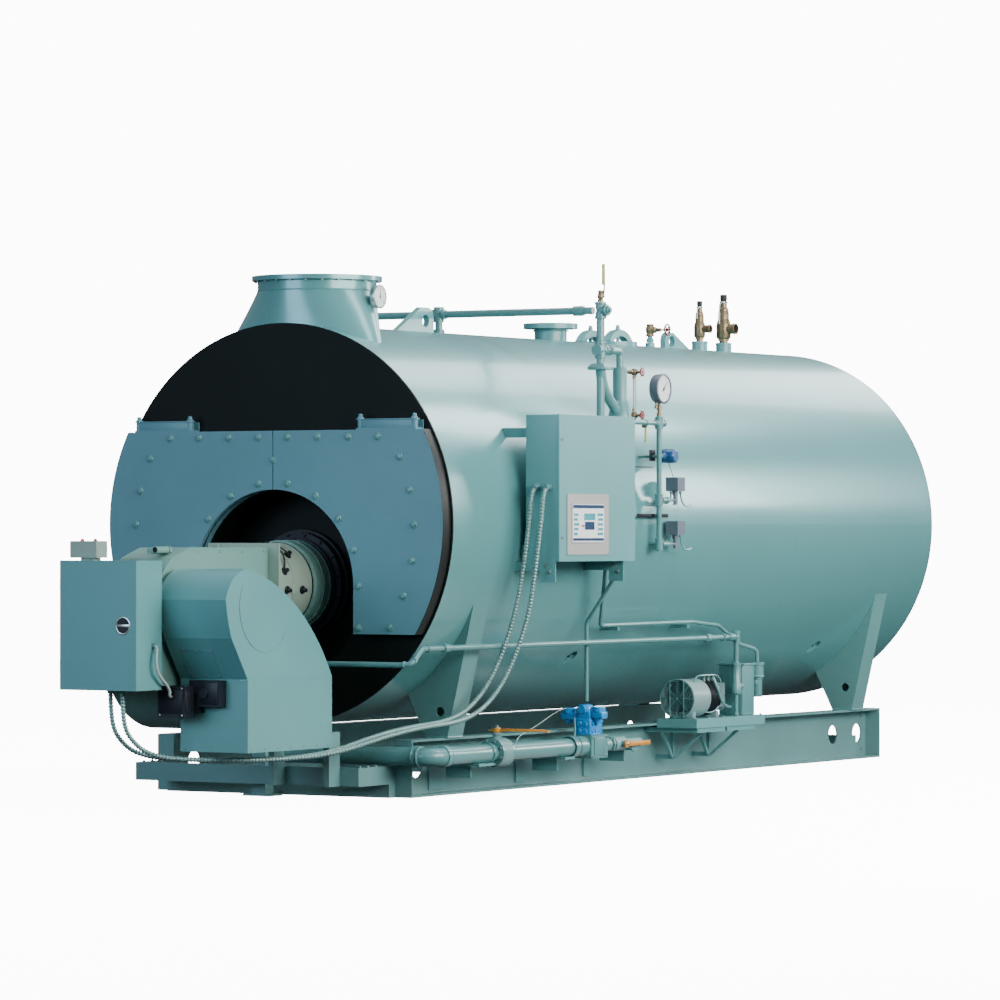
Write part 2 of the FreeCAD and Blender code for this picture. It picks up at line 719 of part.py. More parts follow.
def vent_valve():
    """A bronze gate valve on a short riser, its hand wheel facing the control side."""
    z = f"{CREST} + 119"
    riser = cylinder("vent_riser", "Z", "17", ("0", "vent_valve_y", f"{CREST} - 40"), "159")
    collar = cylinder("vent_collar", "Z", "30", ("0", "vent_valve_y", f"{CREST} - 40"), "70")
    foot = cut("vent_foot", fuse("vent_foot_body", [riser, collar]), [drum_tool("vent_seat")])
    body = cylinder("vent_body", "Z", "36", ("0", "vent_valve_y", f"{z} - 42"), "84")
    bonnet = cylinder("vent_bonnet", "X", "24", ("0", "vent_valve_y", z), "78")
    spindle = cylinder("vent_spindle", "X", "9", ("0", "vent_valve_y", z), "150")
    rim = doc.addObject("Part::Torus", "vent_rim")
    rim.Placement = FreeCAD.Placement(FreeCAD.Vector(), TURNS["X"])
    rim.Radius1 = 44
    rim.Radius2 = 6
    move_to(rim, "140", "vent_valve_y", z)
    spokes = [box("vent_spoke_a", ("136", "144"), ("vent_valve_y - 44", "vent_valve_y + 44"),
                  (f"{z} - 5", f"{z} + 5")),
              box("vent_spoke_b", ("136", "144"), ("vent_valve_y - 5", "vent_valve_y + 5"),
                  (f"{z} - 44", f"{z} + 44"))]
    keep(fuse("vent", [foot, body, bonnet, spindle, rim] + spokes), "vent_valve")


# ---------------------------------------------------------------- skid
def skid():
    z_top = "beam_height"
    for side, tag in ((1, "right"), (-1, "left")):
        def spread(near, far):
            return (near, far) if side > 0 else (f"-({far})", f"-({near})")
        web = box(f"web_{tag}", spread("web_x", "web_x + web_plate"), ("beam_front", BEAM_BACK),
                  ("0", z_top))
        reach = spread("web_x", "web_x + flange_width")
        top = box(f"flange_top_{tag}", reach, ("beam_front", BEAM_BACK),
                  ("beam_height - flange_plate", z_top))
        low = box(f"flange_low_{tag}", reach, ("beam_front", BEAM_BACK), ("0", "flange_plate"))
        caps = [box(f"end_{tag}_{i}", reach, y, ("0", z_top))
                for i, y in enumerate((("beam_front", "beam_front + end_plate"),
                                       (f"{BEAM_BACK} - end_plate", BEAM_BACK)))]
        start = "web_x - 20" if side > 0 else "-web_x - 40"
        holes = [cylinder(f"web_hole_{tag}_{i}", "X", "web_hole_r", (start, y, "beam_height / 2"), "60")
                 for i, y in enumerate(("beam_front + 231", f"{BEAM_BACK} - 525", f"{BEAM_BACK} - 150"))]
        keep(cut(f"beam_{tag}", fuse(f"beam_body_{tag}", [web, top, low] + caps), holes),
             f"skid_beam_{tag}")

    tie = ("-web_x", "web_x")
    ties = [box("tie_front", tie, ("-cross_width / 2", "cross_width / 2"), ("0", "cross_height"))]
    for i, y in enumerate(("0.27 * jacket_length", "0.5 * jacket_length", "0.73 * jacket_length")):
        ties.append(box(f"tie_{i}", tie, (f"{y} - cross_width / 2", f"{y} + cross_width / 2"),
                        ("60", "60 + cross_height")))
    ties.append(box("tie_rear", tie, (f"{BEAM_BACK} - 140 - cross_width", f"{BEAM_BACK} - 140"),
                    ("60", "60 + cross_height")))
    keep(fuse("cross_ties", ties), "skid_cross_members")

    high = "frame_low + frame_height"
    bar = box("front_bar", ("-web_x", "web_x"), ("-frame_reach", "frame_bar - frame_reach"),
              ("frame_low", high))
    rails = [box(f"rail_{i}", x, ("frame_bar - frame_reach", "-cross_width / 2"), ("frame_low", high))
             for i, x in enumerate((("-web_x", "frame_bar - web_x"), ("web_x - frame_bar", "web_x")))]
    seats = [box(f"rail_seat_{i}", x, ("-cross_width / 2", "beam_front"), ("cross_height", high))
             for i, x in enumerate((("-web_x", "frame_bar - web_x"), ("web_x - frame_bar", "web_x")))]
    hangers = [box(f"inlet_hanger_{i}", x, ("-inlet_back + seat_gap", "-frame_reach"),
                   ("frame_low", "inlet_bottom + 90"))
               for i, x in enumerate((("inlet_near + 20", "inlet_near + 60"),
                                      ("inlet_far - 60", "inlet_far - 20")))]
    keep(fuse("front_frame_body", [bar] + rails + seats + hangers), "front_frame")

    foot = box("stand_base", ("-stand_foot", "stand_foot"), ("-stand_y - 75", "-stand_y + 75"),
               ("0", "stand_foot_plate"))
    post = box("stand_post", ("-stand_half_x", "stand_half_x"),
               ("-stand_y - stand_half_y", "-stand_y + stand_half_y"), ("0", BURNER_Z))
    drum_way = cylinder("stand_way", "Y", "drum_r + seat_gap", ("0", "-600", BURNER_Z), "500")
    keep(cut("stand", fuse("stand_body", [foot, post]), [drum_way]), "burner_stand")


def saddles():
    """Box legs from the beams up to the drum: a front, a back and a slanted outer plate."""
    outer = [("saddle_foot_in", "beam_height"), ("saddle_foot_out", "beam_height"),
             ("saddle_top_x", "saddle_top_z"), ("saddle_low_x", "saddle_low_z")]
    inner = [("saddle_foot_in - 60", "beam_height - 20"),
             ("saddle_foot_out - saddle_plate - 4", "beam_height - 20"),
             ("saddle_top_x - saddle_plate", "saddle_top_z + 4"),
             ("saddle_low_x - 220", "saddle_low_z")]
    legs = []
    for tag, start in (("front", "saddle_y"), ("rear", "jacket_length - saddle_rear_inset")):
        for side, hand in ((1, "right"), (-1, "left")):
            name = f"{tag}_{hand}"
            if side < 0:
                mirrored = [[(f"-({x})", z) for x, z in reversed(shape)] for shape in (outer, inner)]
                leg_outline, hollow_outline = mirrored
            else:
                leg_outline, hollow_outline = outer, inner
            leg = prism(f"leg_{name}", "XZ", leg_outline, start, "saddle_width")
            hollow = prism(f"leg_hollow_{name}", "XZ", hollow_outline, f"{start} + saddle_plate",
                           "saddle_width - 2 * saddle_plate")
            hole = cylinder(f"leg_hole_{name}", "Y", "saddle_hole_r",
                            (f"{side} * (saddle_foot_out - 52)", f"{start} - 20", "beam_height + 160"),
                            "saddle_width + 40")
            legs.append(cut(f"saddle_{name}", leg, [hollow, hole, drum_tool(f"leg_seat_{name}")]))
    keep(group("leg_set", legs), "saddles")


# ---------------------------------------------------------------- burner
def burner():
    scroll_y = "(-cab_back + scroll_r + scroll_gap)"
    top = f"({BURNER_Z} + scroll_top)"
    low = f"({BURNER_Z} - scroll_top)"
    wheel = cylinder("scroll_wheel", "X", "scroll_r", ("-scroll_half", scroll_y, "scroll_z"),
                     "2 * scroll_half")
    duct = box("scroll_duct", ("-scroll_half", "scroll_half"), (f"{scroll_y} - 175", "-joint_y"),
               (low, top))
    slope = prism("scroll_bevel", "YZ",
                  [(f"{scroll_y} - 700", f"{top} - 170"), (f"{scroll_y} - 175", top),
                   (f"{scroll_y} + 800", top), (f"{scroll_y} + 800", f"{top} + 400"),
                   (f"{scroll_y} - 700", f"{top} + 400")],
                  "-scroll_half - 5", "2 * scroll_half + 10")
    vent = cylinder("scroll_vent", "Y", "18", ("60", f"{scroll_y} - 420", f"{top} - 20"), "160")
    neck = cylinder("scroll_inlet", "X", "300", ("scroll_half", scroll_y, "scroll_z + 60"),
                    "inlet_near - scroll_half - seat_gap")
    housing = fuse("scroll_form", [cut("scroll_shape", fuse("scroll_body", [wheel, duct]), [slope]),
                                   vent, neck])
    keep(housing, "fan_housing")

    motor = cylinder("motor_body", "X", "motor_r",
                     ("-scroll_half - motor_length", scroll_y, "scroll_z"), "motor_length")
    box_on_motor = box("motor_terminal", ("-scroll_half - 230", "-scroll_half - 100"),
                       (f"{scroll_y} - 60", f"{scroll_y} + 60"),
                       ("scroll_z + 100", "scroll_z + motor_r + 50"))
    keep(fuse("motor", [motor, box_on_motor]), "fan_motor")

    plate = box("joint_plate_body", ("-joint_half", "joint_half"), ("-joint_y", "-joint_y + joint_plate"),
                (f"{BURNER_Z} - joint_half", f"{BURNER_Z} + joint_half"))
    barrel = cylinder("barrel", "Y", "drum_r", ("0", "-joint_y", BURNER_Z), "joint_y - 40")
    keep(fuse("burner_barrel", [plate, barrel]), "burner_drum")

    collar = cylinder("collar_a", "Y", "drum_r + collar_step", ("0", "-40", BURNER_Z), "195")
    ring = cylinder("collar_b", "Y", "295", ("0", "150", BURNER_Z), "24")
    back = cylinder("collar_c", "Y", "330", ("0", "174", BURNER_Z), "60")
    flange = cylinder("collar_d", "Y", "345", ("0", "228", BURNER_Z),
                      "head_plate + recess_depth - recess_plate - 228")
    keep(fuse("burner_collar", [collar, ring, back, flange]), "burner_mounting_flange")


def inlet_outline(inset):
    """The air box seen from the control side: straight below its bend, domed above it."""
    shift = f"{inset}"
    return [(f"-inlet_front + {shift}", "inlet_bottom"), (f"-inlet_back - {shift}", "inlet_bottom"),
            (f"-inlet_back - {shift}", "inlet_bend", f"1350 - {shift}"),
            (f"-inlet_front - 10", f"inlet_top - {shift}", f"243 - {shift}"),
            (f"-inlet_front - 230 + {shift}", "inlet_bend + 474", "900"),
            (f"-inlet_front - 170 + {shift}", "inlet_bend + 246"),
            (f"-inlet_front + {shift}", "inlet_bend")]


def inlet_box():
    """A folded sheet hood that takes the fan's air in at its open bottom."""
    skin = prism("inlet_skin", "YZ", inlet_outline("0"), "inlet_near", "inlet_far - inlet_near")
    hollow = prism("inlet_hollow", "YZ", inlet_outline("inlet_sheet"), "inlet_near + inlet_sheet",
                   "inlet_far - inlet_near - 2 * inlet_sheet")
    mouth = box("inlet_mouth", ("inlet_near + inlet_sheet", "inlet_far - inlet_sheet"),
                ("-inlet_front + inlet_sheet", "-inlet_back - inlet_sheet"),
                ("inlet_bottom - 1", "inlet_bottom + 30"))
    keep(cut("inlet", skin, [hollow, mouth]), "air_inlet_box")

    motor = box("actuator_body", ("190", "376"), ("-inlet_front - 179", "-inlet_front - 69"),
                ("532", "718"))
    mount = box("actuator_mount", ("340", "556"), ("-inlet_front - 69", "-inlet_front - seat_gap"),
                ("596", "752"))
    plate = box("actuator_plate", ("232", "400"), ("-inlet_front - 69", "-inlet_front - seat_gap"),
                ("560", "700"))
    keep(fuse("actuator", [motor, mount, plate]), "damper_actuator")


def open_box(name, x, y, z, wall, open_side):
    """A sheet cabinet with one face left open."""
    skin = box(f"{name}_skin", x, y, z)
    inner = [[f"{x[0]} + {wall}", f"{x[1]} - {wall}"], [f"{y[0]} + {wall}", f"{y[1]} - {wall}"],
             [f"{z[0]} + {wall}", f"{z[1]} - {wall}"]]
    axis, end = open_side
    inner[axis][end] = f"{(x, y, z)[axis][end]} {'-+'[end]} 1"
    hollow = box(f"{name}_hollow", inner[0], inner[1], inner[2])
    return cut(name, skin, [hollow])


def knuckles(name, x, y, z, tab_x, tab_y):
    """Two fixed hinge barrels on a cabinet's edge, each on a tab that reaches the sheet."""
    pieces = []
    for i, low in enumerate((f"{z[0]} + hinge_inset", f"{z[1]} - hinge_inset - hinge_length")):
        high = f"{low} + hinge_length"
        pieces.append(cylinder(f"{name}_barrel_{i}", "Z", "hinge_r", (x, y, low), "hinge_length"))
        pieces.append(box(f"{name}_tab_{i}", tab_x, tab_y, (low, high)))
    return pieces


def burner_cabinet():
    x = ("-cab_left", "cab_right")
    z = ("cab_low", "cab_high")
    edge = "-cab_front + door_sheet"
    shell = open_box("flame_cabinet", x, (f"{edge} + hinge_gap", "-cab_back"), z, "sheet", (1, 0))
    hinges = knuckles("flame_hinge", "-cab_left - hinge_offset", edge, z,
                      ("-cab_left - hinge_offset", "-cab_left"), (f"{edge} + 3", f"{edge} + 40"))
    keep(fuse("flame_cabinet_hung", [shell] + hinges), "burner_cabinet")
    door = box("flame_door", x, ("-cab_front", "-cab_front + door_sheet"), z)
    keep(door, "burner_cabinet_door")
    lamp_box = box("lamp_box", ("-262", "-72"), ("-cab_back - 190", "-cab_back - 80"),
                   ("cab_high + 16", "cab_high + 116"))
    lamp_foot = box("lamp_foot", ("-200", "-110"), ("-cab_back - 170", "-cab_back - 100"),
                    ("cab_high", "cab_high + 16"))
    relay = box("relay", ("-270", "-170"), ("-cab_back - 70", "-cab_back - 10"),
                ("cab_high", "cab_high + 70"))
    keep(group("signal_set", [fuse("lamp_boxes", [lamp_box, lamp_foot]), relay]), "signal_boxes")


# ---------------------------------------------------------------- main cabinet
def main_cabinet():
    x = (PANEL_X, f"{PANEL_X} + panel_depth - door_sheet - hinge_gap")
    y = ("panel_front", "panel_back")
    z = ("panel_low", "panel_high")
    front = f"{PANEL_X} + panel_depth"
    edge = f"{front} - door_sheet"
    shell = open_box("panel", x, y, z, "sheet", (0, 1))
    hinges = knuckles("panel_hinge", edge, "panel_back + hinge_offset", z,
                      (f"{edge} - 40", f"{edge} - 3"), ("panel_back", "panel_back + hinge_offset"))
    keep(fuse("panel_hung", [shell] + hinges), "main_cabinet")
    keep(box("panel_door", (f"{front} - door_sheet", front), y, z), "main_cabinet_door")
    keep(box("screen", (front, f"{front} + screen_plate"), ("panel_front + 89", "panel_front + 605"),
             ("panel_low + 41", "panel_low + 419")), "touch_panel")
    hangers = []
    for i, start in enumerate(("panel_front", "panel_back - 100")):
        tongue = box(f"hanger_tongue_{i}", (f"{PANEL_X} + 105", f"{PANEL_X} + panel_depth - 30"),
                     (start, f"{start} + 10"), ("panel_low - 129", "panel_low"))
        arm = box(f"hanger_arm_{i}", ("jacket_r - 80", f"{PANEL_X} + 110"), (start, f"{start} + 10"),
                  ("panel_low - 60", "panel_low"))
        top_arm = box(f"hanger_top_{i}", ("jacket_r - 420", PANEL_X),
                      (f"{start} {'+-'[i]} 40", f"{start} {'+-'[i]} 40 + 10"),
                      ("panel_high - 140", "panel_high - 80"))
        shoe = box(f"hanger_shoe_{i}", (f"{PANEL_X} - 8", PANEL_X),
                   (f"{start} {'+-'[i]} 40", f"{start} {'+-'[i]} 40 + 10"),
                   ("panel_low + 40", "panel_high - 80"))
        low_arm = box(f"hanger_low_{i}", ("jacket_r - 40", PANEL_X),
                      (f"{start} {'+-'[i]} 40", f"{start} {'+-'[i]} 40 + 10"),
                      ("panel_low + 40", "panel_low + 100"))
        hangers += [cut(f"hanger_{i}", fuse(f"hanger_low_set_{i}", [tongue, arm]),
                        [drum_tool(f"hanger_seat_{i}")]),
                    cut(f"hanger_upper_{i}", fuse(f"hanger_high_set_{i}", [top_arm, shoe, low_arm]),
                        [drum_tool(f"hanger_high_seat_{i}")])]
    keep(group("panel_brackets", hangers), "cabinet_brackets")


# ---------------------------------------------------------------- water columns and trim
def fitting(name, axis, radius, at, half):
    """A short thick sleeve centred on a point: a tee, cross, coupling or union."""
    start = list(at)
    index = "XYZ".index(axis)
    start[index] = f"{start[index]} - {half}"
    return cylinder(name, axis, radius, start, f"2 * ({half})")


def column(side, tag):
    """The pipe down from the header, the float chamber and its connections back to the drum."""
    x = f"{side} * column_x"
    top, low = "header_z", "header_z - 254"
    chamber_y = "column_y + 250"
    plate_z = "header_z - 362"
    pieces = [
        cylinder(f"{tag}_riser", "Z", "header_r", (x, "column_y", "header_z - 1180"), "1180"),
        fitting(f"{tag}_cross_v", "Z", "header_r + 10", (x, "column_y", top), "52"),
        fitting(f"{tag}_cross_h", "X", "header_r + 10", (x, "column_y", top), "52"),
        fitting(f"{tag}_low_v", "Z", "header_r + 10", (x, "column_y", low), "52"),
        fitting(f"{tag}_low_h", "Y", "header_r + 10", (x, "column_y", low), "58"),
        cylinder(f"{tag}_arm", "Y", "header_r - 4", (x, "column_y", low), "250"),
        cylinder(f"{tag}_drop", "Z", "header_r - 4", (x, chamber_y, f"{plate_z} - 60"), "168"),
        cylinder(f"{tag}_elbow", "Z", "header_r + 6", (x, chamber_y, f"{low} - 40"), "70"),
        box(f"{tag}_plate", (f"{x} - 62", f"{x} + 62"), ("column_y - 62", "column_y + 62"),
            (f"{plate_z} - 20", f"{plate_z} + 20")),
        cylinder(f"{tag}_chamber", "Z", "46", (x, chamber_y, f"{plate_z} - 200"), "200"),
        cylinder(f"{tag}_bulb", "Z", "84", (x, chamber_y, "header_z - 960"), "400"),
        cone(f"{tag}_bulb_top", "Z", "84", "46", (x, chamber_y, "header_z - 560"), "60"),
        cone(f"{tag}_bulb_end", "Z", "40", "84", (x, chamber_y, "header_z - 1010"), "50"),
        cylinder(f"{tag}_return", "Y", "header_r", (x, "column_y", "header_z - 1150"), "250"),
        cylinder(f"{tag}_drain", "Z", "header_r - 4", (x, chamber_y, "header_z - 1180"), "180"),
    ]
    inward = "jacket_r - 260" if side > 0 else "-column_x"
    pieces.append(cylinder(f"{tag}_feed", "X", "header_r", (inward, "column_y", "header_z - 1150"),
                           "column_x - jacket_r + 260"))
    slant = pipe(f"{tag}_slant", [(x, "column_y", f"{plate_z} - 10"), (x, "column_y", f"{plate_z} - 70"),
                                  (x, chamber_y, "header_z - 620")], "32", "60")
    pieces.append(slant)
    return cut(f"{tag}_column_cut", fuse(f"{tag}_column_body", pieces), [drum_tool(f"{tag}_column_seat")])


def header():
    """The pipe over the crest that feeds both columns, on its riser from the drum."""
    reach = "column_x - 52 - seat_gap"
    run = cylinder("header_run", "X", "header_r", (f"-({reach})", "column_y", "header_z"), f"2 * ({reach})")
    riser = cylinder("header_riser", "Z", "header_r", ("0", "column_y", f"{CREST} - 60"),
                     f"header_z - {CREST} + 60")
    pieces = [run, riser,
              fitting("header_tee_v", "Z", "header_r + 10", ("0", "column_y", "header_z"), "50"),
              fitting("header_tee_h", "X", "header_r + 10", ("0", "column_y", "header_z"), "50"),
              fitting("header_union_a", "X", "header_r + 9", ("column_x - 160", "column_y", "header_z"), "34"),
              fitting("header_union_b", "X", "header_r + 9", ("160 - column_x", "column_y", "header_z"), "34"),
              cylinder("header_boss", "Z", "header_r + 14", ("0", "column_y", f"{CREST} - 60"), "84")]
    keep(cut("header", fuse("header_body", pieces), [drum_tool("header_seat")]), "header_pipe")


def trim():
    keep(column(1, "water"), "water_column")
    keep(column(-1, "auxiliary"), "auxiliary_column")

    x, y = "column_x", "column_y"
    bleed_z = "header_z + 52"
    body = cylinder("bleed_body", "Z", "20", (x, y, bleed_z), "78")
    stem = cylinder("bleed_stem", "Y", "9", (x, y, f"{bleed_z} + 42"), "50")
    handle = box("bleed_handle", (f"{x} - 5", f"{x} + 5"), (f"{y} + 44", f"{y} + 52"),
                 (f"{bleed_z} + 34", f"{bleed_z} + 250"))
    keep(fuse("bleed", [body, stem, handle]), "bleed_valve")

    glass_y = "column_y + 440"
    high, low = "header_z - 384", "header_z - 664"
    parts_of_glass = [
        cylinder("glass_arm_high", "Y", "12", (x, "column_y + 250 + 46 + seat_gap", high), "144"),
        cylinder("glass_arm_low", "Y", "12", (x, "column_y + 250 + 84 + seat_gap", low), "106"),
        fitting("glass_cock_high", "Z", "20", (x, glass_y, high), "26"),
        fitting("glass_cock_low", "Z", "20", (x, glass_y, low), "26"),
        cylinder("glass_tube", "Z", "9", (x, glass_y, low), "280"),
    ]
    for tag, height in (("high", high), ("low", low)):
        parts_of_glass.append(cylinder(f"glass_stem_{tag}", "X", "7", (x, glass_y, height), "62"))
        parts_of_glass.append(cylinder(f"glass_wheel_{tag}", "X", "32", (f"{x} + 52", glass_y, height), "12"))
    keep(fuse("glass", parts_of_glass), "gauge_glass")

    gx, gy = "gauge_pipe_x", "gauge_pipe_y"
    cross_z = "header_z - 713"
    stand = cylinder("gauge_stand", "Z", "17", (gx, gy, "header_z - 1546"), "880")
    chamber_y = "(column_y + 250)"
    link = cylinder("gauge_link", "Y", "15", (gx, f"{chamber_y} - 14", cross_z), f"{gy} - {chamber_y} + 14")
    turn = cylinder("gauge_turn", "X", "14", ("column_x + 84 + seat_gap", chamber_y, cross_z),
                    f"{gx} - column_x - 84 - seat_gap")
    tees = [fitting(f"gauge_tee_{i}", "Z", "26", (gx, gy, z), "34")
            for i, z in enumerate((cross_z, "header_z - 1214", "header_z - 1500"))]
    plug = cylinder("gauge_plug", "Y", "24", (gx, gy, cross_z), "62")
    struts = []
    for i, z in enumerate(("header_z - 930", "header_z - 1316", "header_z - 1500")):
        struts.append(cylinder(f"gauge_strut_{i}", "X", "10", ("jacket_r - 400", gy, z),
                               f"{gx} - jacket_r + 400"))
    boxes_arms = [cylinder(f"control_arm_{i}", "Y", "9", (gx, gy, z), "170")
                  for i, z in enumerate(("header_z - 1214", "header_z - 1500"))]
    blue_arm = cylinder("blue_arm", "Y", "14", (gx, gy, "header_z - 926"), "70")
    piping = fuse("gauge_piping_body", [stand, link, turn, plug, blue_arm] + tees + struts + boxes_arms)
    keep(cut("gauge_piping_cut", piping, [drum_tool("gauge_piping_seat")]), "gauge_piping")

    siphon = cylinder("gauge_siphon", "Z", "13", (gx, gy, "header_z - 666"), f"{number('gauge_r')} + 90")
    dial_z = "header_z - 490"
    case = cylinder("gauge_case", "X", "gauge_r", (f"{gx} - 30", gy, dial_z), "gauge_depth")
    keep(fuse("gauge", [siphon, case]), "pressure_gauge")

    blue = cylinder("blue_body", "X", "46", (f"{gx} - 55", f"{gy} + 116", "header_z - 926"), "120")
    keep(cut("blue", blue, [cylinder("blue_way", "Y", "14 + seat_gap", (gx, gy, "header_z - 926"), "70")]),
         "level_transmitter")
    controls = []
    for i, z in enumerate(("header_z - 1214", "header_z - 1500")):
        case_i = box(f"control_case_{i}", (f"{gx} - 45", f"{gx} + 45"), (f"{gy} + 170", f"{gy} + 270"),
                     (f"{z} + 60", f"{z} + 150"))
        foot_i = cylinder(f"control_foot_{i}", "Z", "15", (gx, f"{gy} + 220", f"{z} - 30"), "100")
        tie_i = cylinder(f"control_tie_{i}", "Y", "9", (gx, f"{gy} + 170", z), "50")
        controls.append(fuse(f"control_{i}", [case_i, foot_i, tie_i]))
    keep(group("control_pair", controls), "pressure_controls")


# ---------------------------------------------------------------- gas train
def gas_train():
    run_y = "-gas_cross_y"
    pipe_one = pipe("gas_pipe_body", [("0", run_y, f"{BURNER_Z} - drum_r + 6"), ("0", run_y, "gas_z"),
                                      ("gas_x", run_y, "gas_z"), ("gas_x", "640", "gas_z")],
                    "gas_r", "86")
    collars = [fitting("gas_collar_a", "X", "gas_r + 8", ("gas_x - 118", run_y, "gas_z"), "18"),
               fitting("gas_collar_b", "Y", "gas_r + 8", ("gas_x", "58", "gas_z"), "18"),
               fitting("gas_flange_a", "Y", "gas_r + 36", ("gas_x", "630", "gas_z"), "10")]
    barrel_way = cylinder("gas_way", "Y", "drum_r + collar_step + seat_gap", ("0", "-300", BURNER_Z), "400")
    front = cut("gas_front", fuse("gas_front_body", [pipe_one] + collars), [barrel_way])

    valve_low = "640 + seat_gap"
    disc = cylinder("butterfly_disc", "Y", "gas_r + 36", ("gas_x", valve_low, "gas_z"), "96")
    neck = cylinder("butterfly_neck", "Z", "26", ("gas_x", "690", "gas_z"), "gas_r + 62")
    cap = cylinder("butterfly_cap", "Z", "38", ("gas_x", "690", "gas_z + gas_r + 54"), "12")
    keep(fuse("butterfly", [disc, neck, cap]), "butterfly_valve")
    lever_z = "gas_z + gas_r + 66 + seat_gap"
    hub = cylinder("lever_hub", "Z", "24", ("gas_x", "690", lever_z), "34")
    bar = box("lever_bar", ("gas_x - 60", "gas_x + 376"), ("676", "704"), (f"{lever_z} + 8", f"{lever_z} + 22"))
    keep(fuse("butterfly_lever_body", [hub, bar]), "butterfly_lever")

    rear_start = "640 + 96 + 2 * seat_gap"
    flange = cylinder("gas_flange_b", "Y", "gas_r + 36", ("gas_x", rear_start, "gas_z"), "20")
    run = cylinder("gas_run", "Y", "gas_r", ("gas_x", rear_start, "gas_z"), f"1740 - ({rear_start})")
    collar = fitting("gas_collar_c", "Y", "gas_r + 14", ("gas_x", "1590", "gas_z"), "28")
    bell = cylinder("gas_bell", "Y", "gas_r + 8", ("gas_x", "1640", "gas_z"), "90")
    body = box("gas_valve_block", ("gas_x - 72", "gas_x + 72"), ("1740", "1950"), ("gas_z - 78", "gas_z + 72"))
    branch = cylinder("gas_branch", "Y", "branch_r", ("gas_x", "1950", "gas_z"), "170")
    union = fitting("gas_union", "Y", "branch_r + 14", ("gas_x", "2030", "gas_z"), "26")
    rear = fuse("gas_rear", [flange, run, collar, bell, body, branch, union])
    keep(group("gas_line", [front, rear]), "gas_pipe")

    tower = box("actuator_tower", ("gas_x - 58", "gas_x + 58"), ("1748", "1856"), ("gas_z + 72", "gas_z + 262"))
    dome = cylinder("actuator_dome", "Z", "50", ("gas_x", "1802", "gas_z + 262"), "24")
    left = box("actuator_left", ("gas_x - 176", "gas_x - 58"), ("1756", "1848"), ("gas_z + 172", "gas_z + 256"))
    right = box("actuator_right", ("gas_x + 58", "gas_x + 136"), ("1770", "1850"), ("gas_z + 182", "gas_z + 262"))
    back = box("actuator_rear", ("gas_x - 40", "gas_x + 50"), ("1856", "1920"), ("gas_z + 72", "gas_z + 186"))
    keep(fuse("gas_actuators_body", [tower, dome, left, right, back]), "gas_valve_actuators")

    ball = cylinder("cock_body", "Y", "branch_r + 16", ("gas_x", "2120 + seat_gap", "gas_z"), "140")
    boss = cylinder("cock_boss", "X", "20", ("gas_x", "2190", "gas_z"), "branch_r + 40")
    tail = cylinder("cock_tail", "Y", "branch_r", ("gas_x", "2190", "gas_z"), "290")
    bore = cylinder("cock_bore", "Y", "branch_bore", ("gas_x", "2400", "gas_z"), "81")
    keep(cut("cock", fuse("cock_form", [ball, boss, tail]), [bore]), "gas_ball_valve")
    hub_x = "gas_x + branch_r + 40 + seat_gap"
    cock_hub = cylinder("cock_hub", "X", "20", (hub_x, "2190", "gas_z"), "24")
    cock_bar = box("cock_bar", (f"{hub_x} + 4", f"{hub_x} + 14"), ("2190", "2490"),
                   ("gas_z - 15", "gas_z + 15"))
    keep(fuse("cock_lever", [cock_hub, cock_bar]), "gas_ball_valve_lever")

    stays = []
    out = "web_x + flange_width"
    for i, (y0, y1, z1) in enumerate((("380", "560", "gas_z - gas_r"), ("1430", "1550", "gas_z - gas_r"),
                                      ("2290", "2370", "gas_z - branch_r"))):
        arm = box(f"gas_stay_{i}", ("web_x + web_plate", "gas_x + 60"), (y0, y1),
                  (f"{z1} - 16 - seat_gap", f"{z1} - seat_gap"))
        drop = box(f"gas_stay_drop_{i}", ("web_x + web_plate", "web_x + web_plate + 12"), (y0, y1),
                   ("flange_plate + 20", f"{z1} - seat_gap"))
        gusset = box(f"gas_gusset_{i}", (out, "gas_x - 20"), (f"{y0} + 30", f"{y0} + 42"),
                     (f"{z1} - 90", f"{z1} - 16"))
        stays.append(fuse(f"gas_stay_set_{i}", [arm, drop, gusset]))
    keep(group("gas_stays", stays), "gas_pipe_supports")


